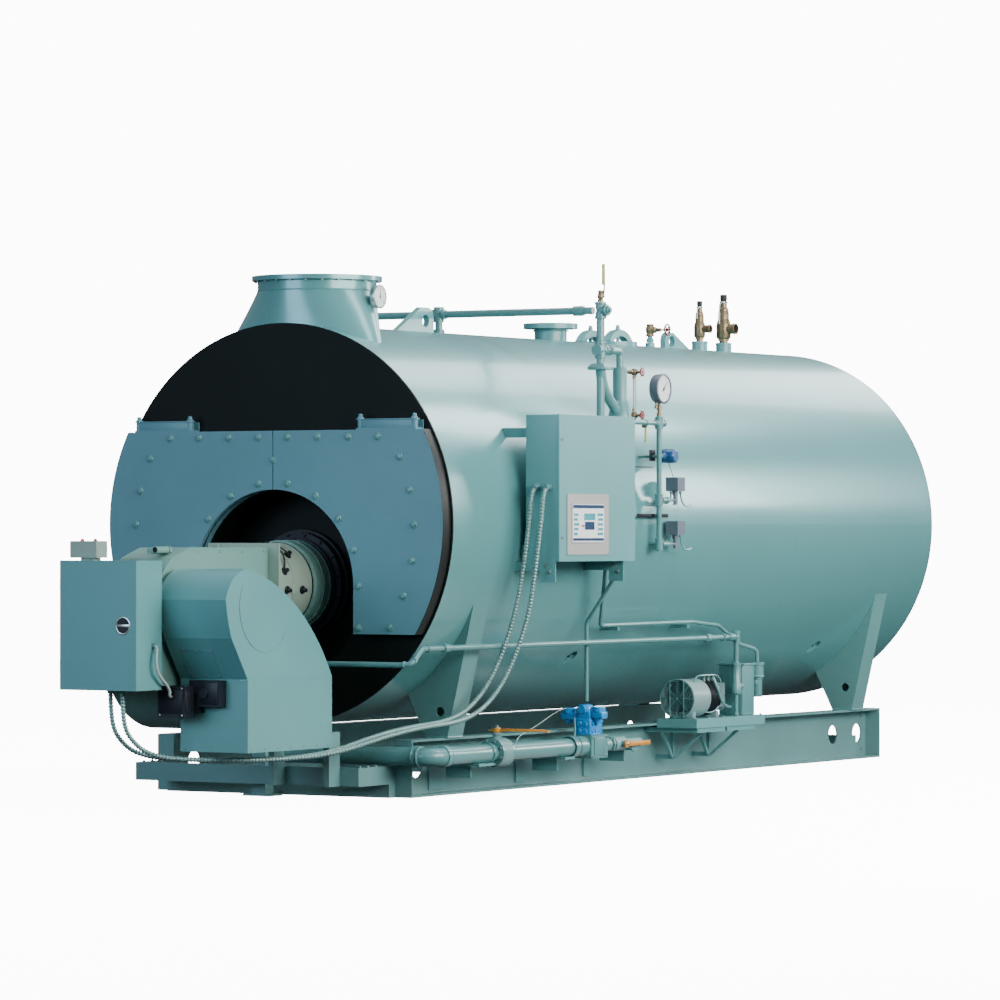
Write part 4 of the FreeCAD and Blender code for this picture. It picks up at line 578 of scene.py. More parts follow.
@dataclass
class Route:
    """The line that a tube or hose follows."""

    points: list[Point]
    closed: bool = False
    straight: bool = False

    def curve_object(self, radius: float = 0.0, sides: int = 3) -> bpy.types.Object:
        """A curve object along the route.

        Args:
            radius: of the tube; zero leaves a bare line.
            sides: a quarter's facets.

        Returns:
            The linked object, which the caller discards.
        """
        curve = bpy.data.curves.new("route", "CURVE")
        curve.dimensions = "3D"
        curve.bevel_depth = radius
        curve.bevel_resolution = sides
        curve.use_fill_caps = bool(radius)
        curve.resolution_u = 8
        spline = curve.splines.new("POLY" if self.straight else "NURBS")
        spline.points.add(len(self.points) - 1)
        for point, place in zip(spline.points, self.points):
            point.co = (*place, 1)
        if not self.straight:
            spline.order_u = 3
            spline.use_endpoint_u = not self.closed
        spline.use_cyclic_u = self.closed
        holder = linked("route", curve)
        return holder

    @staticmethod
    def discard(holder: bpy.types.Object) -> None:
        """Removes a route's object and its curve.

        Args:
            holder: what curve_object returned.
        """
        curve = holder.data
        bpy.data.objects.remove(holder)
        bpy.data.curves.remove(curve)

    def ribbed(self, shape: Shape, valley: float, ridge: float, pitch: float) -> None:
        """Adds a corrugated sleeve along the route.

        Args:
            shape: the shape that takes it.
            valley: radius between ribs.
            ridge: radius on a rib.
            pitch: rib to rib.
        """
        unit = Shape().turned([(valley, 0), (ridge, 0.28 * pitch), (ridge, 0.62 * pitch),
                               (valley, 0.9 * pitch), (valley, pitch)], (0, 0, 0), Axis.RIGHT, 12)
        data = bpy.data.meshes.new("rib")
        unit.mesh.to_mesh(data)
        unit.mesh.free()
        rib = linked("rib", data)
        line = self.curve_object()
        line.data.resolution_u = 24
        row = rib.modifiers.new("row", "ARRAY")
        row.fit_type = "FIT_CURVE"
        row.curve = line
        row.use_merge_vertices = True
        row.merge_threshold = 0.2
        bend = rib.modifiers.new("bend", "CURVE")
        bend.object = line
        bend.deform_axis = "POS_X"
        bpy.context.view_layer.update()
        graph = bpy.context.evaluated_depsgraph_get()
        made = bpy.data.meshes.new_from_object(rib.evaluated_get(graph))
        part = bmesh.new()
        part.from_mesh(made)
        bpy.data.meshes.remove(made)
        bpy.data.objects.remove(rib)
        self.discard(line)
        shape.take(part)


# ---------------------------------------------------------------- front of the drum
@dataclass
class FrontDoors:
    """Fasteners and gasket of the two front doors and of their lifting brackets."""

    face_y: float = -94.0
    bolt: float = 15.0
    right_bolts: list[tuple[float, float]] = field(default_factory=lambda: [
        (110, 2214), (330, 2214), (555, 2214), (772, 2214), (928, 2089), (1001, 1884),
        (1033, 1672), (1020, 1451), (958, 1236), (857, 1042), (629, 1040), (631, 1293),
        (595, 1515), (485, 1708), (317, 1850), (110, 1927)])
    seam_z: float = 2075.0

    def build(self) -> None:
        """Makes the bolts, the seam strap bolt, the bracket rails and their studs."""
        bolts = Shape()
        for x, z in self.right_bolts:
            for side in (-1, 1):
                bolts.bolt((side * x, self.face_y, z), Axis.FRONT, self.bolt, 1.7, 0.7)
        bolts.bolt((0, self.face_y, self.seam_z), Axis.FRONT, self.bolt, 1.5, 0.7)
        bolts.finish("door_bolts", HEADER)
        rails = Shape()
        for low, high in ((-1045, -615), (615, 1045)):
            rails.block((low + 6, -88, 2256), (high - 6, -62, 2318), 3)
            rails.block((low - 4, -92, 2316), (high + 4, -52, 2323), 2)
        rails.finish("bracket_rails", DOOR)
        studs = Shape()
        for side in (-1, 1):
            for x in (635, 1025):
                studs.turned([(0, 0), (17, 0), (17, 74), (14, 78), (14, 92), (9, 96), (0, 96)],
                             (side * x, -74, 2258), Axis.UP, 20)
                studs.turned([(0, 0), (24, 0), (24, 13), (20, 16), (0, 16)],
                             (side * x, -74, 2316), Axis.UP, 6)
        studs.finish("bracket_studs", DOOR)
        self._lip()

    def _lip(self) -> None:
        """The gasket that shows round the burner arch."""
        rim = Shape()
        arch = [(593.0 * math.cos(a), -60.0, 1299 + 593.0 * math.sin(a))
                for a in [math.pi * i / 24 for i in range(25)]]
        rim.wire([(593, -60, 1002)] + arch + [(-593, -60, 1002)], 5.0, straight=True)
        rim.finish("arch_gasket", RUBBER)


@dataclass
class Stack:
    """Rolled flange, neck weld and dial thermometer of the smoke outlet."""

    centre_y: float = 407.0
    neck_r: float = 374.0
    flange_r: float = 410.0
    top_z: float = 3232.0

    def build(self) -> None:
        """Makes the flange bead, the two weld beads and the dial."""
        beads = Shape()
        beads.bar_ring((0, self.centre_y, self.top_z - 92), Axis.UP, self.neck_r, 4.0, 96)
        beads.bar_ring((0, self.centre_y, self.top_z - 31), Axis.UP, self.neck_r + 2, 5.0, 96)
        beads.finish("stack_welds", JACKET)
        bolts = Shape()
        for i in range(24):
            turn = FULL_TURN * (i + 0.5) / 24
            bolts.bolt((392 * math.cos(turn), self.centre_y + 392 * math.sin(turn),
                        self.top_z - 30),
                       Axis.DOWN, 8.0, 1.2)
        bolts.finish("stack_flange_bolts", ZINC)
        Dial("stack_dial", (431, self.centre_y, 3097), 75.0, 42.0, 300.0, STEEL).build(
            "stack_thermometer")


@dataclass
class Dial:
    """A round dial instrument facing the control side."""

    name: str
    centre: Point
    radius: float
    depth: float
    reading: float
    case: Finish

    TICKS = 27
    SWEEP = 270.0

    def build(self, *stands_for: str) -> None:
        """Makes its case, bezel, face, divisions and pointer.

        Args:
            stands_for: CAD nodes the case replaces.
        """
        x, y, z = self.centre
        r, d = self.radius, self.depth
        case = Shape()
        case.turned([(0, 0), (r * 0.80, 0), (r * 0.93, d * 0.10), (r * 0.96, d * 0.2),
                     (r * 0.96, d * 0.72), (r, d * 0.76), (r, d * 0.97), (r * 0.96, d),
                     (r * 0.89, d), (r * 0.875, d * 0.9), (0, d * 0.9)], self.centre, Axis.RIGHT,
                    64)
        if "stack" in self.name:
            case.rod((x - 34, y, z), Axis.RIGHT, 14.0, 36)
            case.turned([(0, 0), (26, 0), (26, 20), (22, 24), (0, 24)], (x - 26, y, z), Axis.RIGHT,
                        6)
        case.finish(f"{self.name}_case", self.case, "base", *stands_for)
        face = Shape().rod((x + d * 0.9, y, z), Axis.RIGHT, r * 0.865, 1.6, 0.3, 64)
        face.finish(f"{self.name}_face", DIAL)
        marks = Shape()
        for i in range(self.TICKS):
            turn = math.radians(-135 + self.SWEEP * i / (self.TICKS - 1))
            long = i % 5 == 0 or i == self.TICKS - 1
            inner, outer = r * (0.62 if long else 0.70), r * 0.78
            half = r * (0.014 if long else 0.008)
            self._needle(marks, x + d * 0.9 + 1.4, turn, inner, outer, half, half)
        turn = math.radians(-135 + self.SWEEP * self.reading / 600.0)
        self._needle(marks, x + d * 0.9 + 2.6, turn, -r * 0.22, r * 0.66, r * 0.05, r * 0.012)
        marks.rod((x + d * 0.9 + 1.2, y, z), Axis.RIGHT, r * 0.085, 3.2, 0.4, 24)
        marks.finish(f"{self.name}_marks", RUBBER)

    def _needle(self, shape: Shape, x: float, turn: float, inner: float, outer: float,
                root: float, tip: float) -> None:
        """Adds a flat tapered bar lying on the dial, clockwise from straight up.

        Args:
            shape: takes the bar.
            x: where its back lies.
            turn: its angle in radians.
            inner: where it starts along its line.
            outer: where it ends.
            root: half its width at the start.
            tip: half its width at the end.
        """
        part = bmesh.new()
        corners = [(-root, inner), (root, inner), (tip, outer), (-tip, outer)]
        along = Vector((0, math.sin(turn), math.cos(turn)))
        across = Vector((0, math.cos(turn), -math.sin(turn)))
        middle = Vector((x, self.centre[1], self.centre[2]))
        verts = [part.verts.new(middle + across * a + along * b) for a, b in corners]
        flat = part.faces.new(verts)
        grown = bmesh.ops.extrude_face_region(part, geom=[flat])
        lifted = [v for v in grown["geom"] if isinstance(v, bmesh.types.BMVert)]
        bmesh.ops.translate(part, vec=(0.8, 0, 0), verts=lifted)
        shape.take(part)


# ---------------------------------------------------------------- crest fittings
@dataclass
class ReliefValve:
    """A spring relief valve: turned body, side outlet, bonnet, cap and hand lever."""

    name: str
    along: float
    body_r: float
    height: float
    outlet_r: float
    lever: bool

    FOOT_Z = 2992.0

    def add(self, bronze: Shape, dark: Shape, steel: Shape) -> None:
        """Adds its metal to the shapes that both valves share.

        Args:
            bronze: castings.
            dark: caps and the outlets' mouths.
            steel: levers and pins.
        """
        r, h, at = self.body_r, self.height, (0, self.along, self.FOOT_Z)
        bronze.turned([(0, 0), (0.6 * r, 0), (0.6 * r, 14), (0.75 * r, 18), (0.75 * r, 26),
                       (0.92 * r, 32), (r, 42), (r, 0.33 * h), (1.04 * r, 0.335 * h),
                       (1.04 * r, 0.36 * h), (0.98 * r, 0.365 * h), (0.94 * r, 0.42 * h),
                       (0.80 * r, 0.47 * h), (0.76 * r, 0.5 * h), (0.76 * r, 0.62 * h),
                       (0.70 * r, 0.64 * h), (0.70 * r, 0.70 * h), (0.5 * r, 0.73 * h),
                       (0.44 * r, 0.86 * h), (0, 0.86 * h)], at, Axis.UP, 40)
        bronze.turned([(0, 0), (0.86 * r, 0), (0.86 * r, 14), (0.8 * r, 17), (0, 17)],
                      (0, self.along, self.FOOT_Z + 14), Axis.UP, 6)
        z = self.FOOT_Z + 30 + 0.2 * h
        o = self.outlet_r
        bronze.turned([(o - 9, r + 12), (o - 9, r + 50), (o - 4, r + 52), (o, r + 50),
                       (o, r + 34), (o * 0.92, r + 30), (o * 0.92, 0), (0, 0), (0, r + 12),
                       (o - 9, r + 12)], (0, self.along, z), Axis.RIGHT, 32)
        dark.rod((r + 11, self.along, z), Axis.RIGHT, o - 9.5, 2.5, 0.3)
        dark.turned([(0, 0), (0.44 * r, 0), (0.44 * r, 0.03 * h), (0.5 * r, 0.035 * h),
                     (0.5 * r, 0.12 * h), (0.42 * r, 0.14 * h), (0, 0.14 * h)],
                    (0, self.along, self.FOOT_Z + 0.86 * h - 1), Axis.UP, 24)
        top = self.FOOT_Z + 0.84 * h
        steel.block((-0.3 * r, self.along - 0.66 * r, top - 8),
                    (0.3 * r, self.along + 0.66 * r, top + 6), 2)
        if self.lever:
            low = self.along - r - 10
            steel.wire([(0, self.along - 0.5 * r, top), (0, low, top - 22), (0, low, top - 40),
                        (0, low, top - 0.45 * h)], 5.5)
        else:
            steel.wire([(0, self.along - 0.5 * r, top), (0, self.along - 0.85 * r, top - 8),
                        (0, self.along - 0.98 * r, top - 0.28 * h)], 5.0)


@dataclass
class Crown:
    """What stands on the crest besides the stack: valves, manway studs, unions and lug welds."""

    vent_y: float = 4683.0
    vent_z: float = 3047.0
    manway_y: float = 4033.0

    def build(self) -> None:
        """Makes the relief valves, the vent valve and the small fasteners."""
        bronze, dark, steel = Shape(), Shape(), Shape()
        ReliefValve("small", 5408, 40, 290, 30, False).add(bronze, dark, steel)
        ReliefValve("large", 5768, 52, 350, 40, True).add(bronze, dark, steel)
        bronze.finish("relief_valve_bodies", BRONZE, "base", "relief_valves")
        dark.finish("relief_valve_caps", RUBBER)
        steel.finish("relief_valve_levers", STEEL)
        self._vent()
        self._manway()
        bands = Shape()
        for along in (5408, 5768):
            bands.ring((0, along, 2976), Axis.UP, 48, 58, 14)
        bands.finish("coupling_bands", PAINT)
        neck = Shape()
        neck.bar_ring((0, 3303, 2993), Axis.UP, 116, 5, 48)
        neck.finish("nozzle_weld", PAINT)

    def _vent(self) -> None:
        """A gate valve on its riser, its wheel turned to the control side."""
        y, z = self.vent_y, self.vent_z
        riser = Shape().rod((0, y, 2926), Axis.UP, 17, 90)
        riser.turned([(0, 0), (33, 0), (33, 26), (29, 31), (0, 31)], (0, y, 2928), Axis.UP, 32)
        riser.turned([(0, 0), (27, 0), (27, 22), (23, 26), (0, 26)], (0, y, 2962), Axis.UP, 8)
        riser.finish("vent_riser", PAINT, "base", "vent_valve")
        body = Shape().turned([(0, 0), (26, 0), (29, 4), (29, 14), (24, 20), (31, 34), (31, 60),
                               (24, 72), (27, 80), (27, 86), (0, 86)], (0, y, z - 44), Axis.UP, 32)
        body.turned([(0, 0), (27, 0), (27, 30), (24, 32), (24, 44), (17, 50), (14, 72), (16, 76),
                     (16, 84), (0, 84)], (0, y, z), Axis.RIGHT, 6)
        body.finish("vent_body", BRONZE)
        Shape().rod((60, y, z), Axis.RIGHT, 7, 84).finish("vent_spindle", STEEL)
        Handwheel((138, y, z), 44.0, 4).build("vent_wheel")

    def _manway(self) -> None:
        """Nuts on the yokes' studs and the yokes' feet."""
        nuts = Shape()
        for side in (-1, 1):
            nuts.bolt((side * 109, self.manway_y, 3022), Axis.UP, 19, 1.5, 0.9)
        nuts.finish("yoke_nuts", PAINT)
        feet = Shape()
        for side in (-1, 1):
            for y in (self.manway_y - 150, self.manway_y + 150):
                feet.block((side * 109 - 34, y - 15, 2940), (side * 109 + 34, y + 15, 2946), 1.5)
        feet.finish("yoke_feet", PAINT)


@dataclass
class Handwheel:
    """A cast valve wheel facing the control side."""

    centre: Point
    radius: float
    spokes: int

    def build(self, name: str) -> None:
        """Makes its rim, spokes and hub as one casting.

        Args:
            name: of the piece.
        """
        x, y, z = self.centre
        wheel = Shape().bar_ring(self.centre, Axis.RIGHT, self.radius - 6, 6.0)
        wheel.turned([(0, -8), (11, -8), (13, -4), (11, 9), (0, 9)], self.centre, Axis.RIGHT, 24)
        for i in range(self.spokes):
            turn = FULL_TURN * (i + 0.5) / self.spokes
            tip = (x, y + (self.radius - 6) * math.cos(turn),
                   z + (self.radius - 6) * math.sin(turn))
            wheel.wire([self.centre, tip], 4.2, straight=True)
        wheel.finish(name, RED)

    def lobed(self, wheel: Shape, lobes: int = 7) -> None:
        """Adds a small solid wheel with lobes round its rim.

        Args:
            wheel: takes the casting.
            lobes: how many.
        """
        x, y, z = self.centre
        wheel.rod((x - 5, y, z), Axis.RIGHT, self.radius * 0.72, 10, 2.5)
        wheel.rod((x - 7, y, z), Axis.RIGHT, self.radius * 0.3, 14, 2)
        for i in range(lobes):
            turn = FULL_TURN * i / lobes
            wheel.rod((x - 4.5, y + self.radius * 0.72 * math.cos(turn),
                       z + self.radius * 0.72 * math.sin(turn)), Axis.RIGHT, self.radius * 0.28, 9,
                      2, 16)


# ---------------------------------------------------------------- water columns and gauges
@dataclass
class WaterColumn:
    """A float chamber on screwed pipe, with its crosses, bevelled flange and slanted inlet."""

    side: int
    node: str
    x: float = 1220.0
    y: float = 1861.0
    top: float = 3049.0
    pipe_r: float = 28.0

    def build(self) -> None:
        """Makes the pipework and the chamber in place of the CAD node."""
        x, y, top, r = self.side * self.x, self.y, self.top, self.pipe_r
        out = Axis.RIGHT if self.side > 0 else Axis.LEFT
        body = Shape()
        body.rod((x, y, top - 1180), Axis.UP, r - 2, 1232)
        self._cross(body, (x, y, top), (Axis.UP, Axis.DOWN, out))
        self._cross(body, (x, y, top - 254), (Axis.UP, Axis.DOWN, Axis.FRONT, Axis.BACK))
        body.turned([(0, 0), (r + 3, 0), (r + 3, 12), (18, 13), (18, 26), (15, 28), (0, 28)],
                    (x + self.side * 52, y, top), out, 6)
        arm_z, drop_y = top - 254, y + 250
        body.wire([(x, y + 30, arm_z), (x, drop_y - 60, arm_z), (x, drop_y, arm_z),
                   (x, drop_y, arm_z - 60), (x, drop_y, arm_z - 190)], r - 4, sides=5)
        for k, station in enumerate((78, 104, 126)):
            body.ring((x, y + station, arm_z), Axis.BACK, r - 6, r + (4 if k == 1 else 1), 10, 2)
        self._flange(body, x, top - 362)
        body.wire([(x, y, top - 378), (x, y + 4, top - 430), (x, y + 60, top - 530),
                   (x, drop_y - 44, top - 640), (x, drop_y - 20, top - 676)], 33, sides=5)
        body.bar_ring((x, drop_y - 88, top - 596), (0, 0.66, -0.75), 34, 5)
        body.turned([(0, 0), (24, 0), (44, 16), (66, 60), (80, 130), (84, 210), (82, 290),
                     (74, 350),
                     (58, 410), (46, 446), (46, 640), (42, 650), (30, 652), (0, 652)],
                    (x, drop_y, top - 1010), Axis.UP, 48)
        body.wire([(x, y, top - 1150), (x, drop_y, top - 1150)], r - 3, straight=True, sides=5)
        body.rod((x, drop_y, top - 1180), Axis.UP, r - 6, 200)
        self._cross(body, (x, y, top - 1150), (Axis.UP, Axis.DOWN, Axis.BACK))
        self._cross(body, (x, drop_y, top - 1150), (Axis.UP, Axis.DOWN, Axis.FRONT))
        inward = Axis.LEFT if self.side > 0 else Axis.RIGHT
        body.rod((x, y, top - 1150), inward, r - 3, 60)
        body.finish(self.node.replace("column", "chamber"), HEADER, "base", self.node)

    def _cross(self, shape: Shape, at: Point, ways: tuple[Axis, ...]) -> None:
        """A screwed fitting: a ball of casting with a banded socket each way.

        Args:
            shape: takes the fitting.
            at: its centre.
            ways: where its sockets point.
        """
        r = self.pipe_r
        shape.turned([(0, -r - 2), (r * 0.7, -r * 0.74), (r + 2, 0), (r * 0.7, r * 0.74),
                      (0, r + 2)],
                     at, Axis.UP, 24)
        for way in ways:
            shape.turned([(0, 8), (r + 4, 8), (r + 4, 36), (r + 10, 39), (r + 10, 51), (r + 7, 54),
                          (0, 54)], at, way, 32)

    def _flange(self, shape: Shape, x: float, z: float) -> None:
        """The square bevelled flange the slanted inlet hangs from.

        Args:
            shape: takes the flange.
            x: the pipe's place across.
            z: the height of its seam.
        """
        part = bmesh.new()
        bmesh.ops.create_cone(part, cap_ends=True, segments=4, radius1=87, radius2=60, depth=20)
        bmesh.ops.rotate(part, matrix=Matrix.Rotation(math.pi / 4, 3, "Z"), verts=part.verts)
        bmesh.ops.translate(part, vec=(x, self.y, z + 10), verts=part.verts)
        shape.take(part)
        shape.block((x - 62, self.y - 62, z - 20), (x + 62, self.y + 62, z), 2)


@dataclass
class Gauges:
    """Sight glass, pressure gauge, transmitter and switches beside the water column."""

    glass: Point = (1220.0, 2301.0, 2525.0)
    stand: Point = (1320.0, 2450.0, 2336.0)

    def build(self) -> None:
        """Makes every instrument on the control side."""
        self._sight_glass()
        self._bleed()
        self._pressure_gauge()
        self._transmitter()
        self._switches()
        self._stand()

    def _sight_glass(self) -> None:
        """Brass cocks, red lobed wheels and the clear tube between them."""
        x, y, middle = self.glass
        brass, wheels = Shape(), Shape()
        for way, z in ((1, middle + 140), (-1, middle - 140)):
            brass.turned([(0, 0), (15, 0), (15, 8), (12, 10), (12, 96), (0, 96)],
                         (x, y - 120, z), Axis.BACK, 20)
            brass.turned([(0, 0), (17, 0), (17, 14), (14, 16), (0, 16)], (x, y - 62, z), Axis.BACK,
                         6)
            brass.turned([(0, -22), (14, -22), (19, -14), (19, 14), (14, 22), (0, 22)], (x, y, z),
                         Axis.UP, 24)
            brass.turned([(0, 0), (16, 0), (16, 16), (12, 18), (0, 18)], (x, y, z - way * 26),
                         Axis.DOWN if way > 0 else Axis.UP, 6)
            brass.turned([(0, 0), (13, 4), (13, 24), (8, 28), (7, 58), (0, 58)], (x, y, z),
                         Axis.RIGHT, 20)
            Handwheel((x + 58, y, z), 31.0, 7).lobed(wheels)
        brass.rod((x, y, middle - 172), Axis.UP, 10, 24)
        brass.finish("glass_cocks", BRONZE, "base", "gauge_glass")
        wheels.finish("glass_wheels", RED)
        Shape().rod((x, y, middle - 128), Axis.UP, 9, 256).finish("glass_tube", GLASS)
        rods = Shape()
        for step in (-15, 15):
            rods.rod((x + 2, y + step, middle - 122), Axis.UP, 2.6, 244, 0.4, 10)
        rods.finish("glass_guards", BRONZE)

    def _bleed(self) -> None:
        """The ball valve over the column's top cross, its handle in a yellow sleeve."""
        x, y, z = 1220.0, 1861.0, 3101.0
        body = Shape().turned([(0, 0), (19, 0), (19, 16), (15, 20), (20, 32), (20, 46), (15, 58),
                               (17, 62), (17, 76), (0, 78)], (x, y, z), Axis.UP, 24)
        body.turned([(0, 0), (10, 2), (10, 40), (0, 40)], (x, y, z + 40), Axis.BACK, 16)
        body.finish("bleed_body", BRONZE, "base", "bleed_valve")
        bend = Shape().wire([(x, y + 34, z + 34), (x, y + 40, z + 60), (x, y + 48, z + 84),
                             (x, y + 50, z + 120)], 5.5)
        bend.finish("bleed_handle", STEEL)
        sleeve = Shape().turned([(0, 0), (9, 0), (11, 4), (11, 128), (9, 134), (0, 134)],
                                (x, y + 38, z + 114), Axis.UP, 20)
        sleeve.finish("bleed_sleeve", YELLOW)
        drain = Shape().rod((1262, 2376, 2210), Axis.UP, 7, 96)
        drain.finish("drain_sleeve", YELLOW)
        cock = Shape().turned([(0, 0), (15, 0), (15, 26), (10, 30), (0, 30)], (1240, 2376, 2318),
                              Axis.RIGHT, 6)
        cock.wire([(1262, 2376, 2318), (1266, 2376, 2312), (1262, 2376, 2300)], 4)
        cock.finish("drain_cock", BRONZE)

    def _pressure_gauge(self) -> None:
        """The large dial on its bronze siphon."""
        x, y, _ = self.stand
        Dial("pressure_dial", (x - 30, y, 2559), 98.0, 72.0, 395.0, CASE).build("pressure_gauge")
        stem = Shape()
        stem.turned([(0, 0), (15, 0), (15, 16), (11, 20), (11, 40), (17, 44), (17, 62), (9, 68),
                     (9, 84), (0, 84)], (x, y, 2383), Axis.UP, 24)
        stem.turned([(0, 0), (16, 0), (16, 16), (0, 16)], (x, y, 2424), Axis.UP, 6)
        stem.wire([(x, y - 8, 2440), (x, y - 40, 2446), (x, y - 46, 2480), (x, y - 58, 2500)], 5)
        stem.rod((x, y - 40, 2430), Axis.UP, 9, 18)
        stem.finish("gauge_siphon", BRONZE)

    def _transmitter(self) -> None:
        """The blue two-lobed transmitter head and its bracket plate."""
        x, y, z = self.stand[0], 2566.0, 2123.0
        head = Shape().turned([(0, 0), (34, 0), (42, 6), (46, 14), (46, 52), (43, 54), (43, 60),
                               (46, 62), (46, 102), (42, 112), (34, 118), (0, 118)],
                              (x - 55, y, z), Axis.RIGHT, 40)
        head.rod((x - 4, y, z + 20), Axis.UP, 20, 26, 3)
        head.turned([(0, 0), (17, 0), (20, 5), (20, 44), (0, 44)], (x, y - 82, z), Axis.BACK, 20)
        head.finish("transmitter_head", BLUE, "base", "level_transmitter")
        plug = Shape().rod((x - 26, y - 44, z + 14), Axis.FRONT, 11, 6)
        plug.finish("transmitter_plug", RUBBER)
        bracket = Shape().block((x - 50, y - 158, z - 34), (x - 44, y - 84, z + 40), 1.5)
        bracket.block((x - 50, y - 120, z - 6), (x + 4, y - 108, z + 6), 1.5)
        bracket.finish("transmitter_bracket", DARK)
        tail = Shape().wire([(x, y + 8, z - 40), (x + 6, y + 30, z - 90), (x, y + 80, z - 140)],
                            2.2)
        tail.finish("transmitter_lead", RUBBER)

    def _switches(self) -> None:
        """Lids, glands and leads of the two pressure switches."""
        lids, glands = Shape(), Shape()
        for z in (1985.0, 1699.0):
            lids.block((1363, 2624, z - 86), (1364.9, 2716, z - 4), 0.6, 1)
            lids.rod((1318, 2668, z - 116), Axis.UP, 19, 30, 3)
            for x, y in ((1300, 2646), (1340, 2700)):
                glands.turned([(0, 0), (12, 0), (12, 12), (9, 14), (0, 14)], (x, y, z - 92),
                              Axis.DOWN, 6)
            glands.wire([(1300, 2646, z - 100), (1300, 2642, z - 150), (1304, 2580, z - 176),
                         (1312, 2520, z - 160), (1316, 2478, z - 140)], 5)
            glands.wire([(1340, 2700, z - 100), (1342, 2706, z - 150), (1350, 2740, z - 186),
                         (1352, 2800, z - 190), (1350, 2826, z - 176)], 5.5)
        lids.finish("switch_lids", CASE)
        glands.finish("switch_glands", HEADER)

    def _stand(self) -> None:
        """Sockets, unions and the drilled strut that holds the gauge stand."""
        x, y, cross = self.stand
        bands = Shape()
        for z in (cross, 1835.0, 1549.0):
            for way in (Axis.UP, Axis.DOWN):
                bands.turned([(0, 10), (24, 10), (24, 28), (28, 30), (28, 38), (0, 38)], (x, y, z),
                             way)
        for station in (-180, -56):
            bands.ring((x, y + station, cross), Axis.BACK, 13, 21, 16, 3)
        bands.turned([(0, 0), (27, 0), (27, 12), (16, 14), (16, 26), (0, 26)], (x, y + 40, cross),
                     Axis.BACK, 8)
        for z in (1835.0, 1549.0):
            bands.turned([(0, 0), (22, 0), (22, 18), (17, 24), (17, 60), (22, 66), (22, 84),
                          (0, 84)],
                         (x, y + 26, z), Axis.BACK, 24)
        bands.finish("gauge_sockets", HEADER)
        strut = Shape().block((x - 30, y - 240, 1722), (x - 26, y + 170, 1746), 1.2)
        strut.block((x - 60, y - 240, 2046), (x - 24, y - 30, 2052), 1.2)
        strut.finish("gauge_struts", DARK)
        holes = Shape()
        for step in (-70, 46, 74):
            holes.rod((x - 27, y + step, 1734), Axis.RIGHT, 6, 1.6, 0.2, 16)
        holes.finish("strut_holes", STEEL)


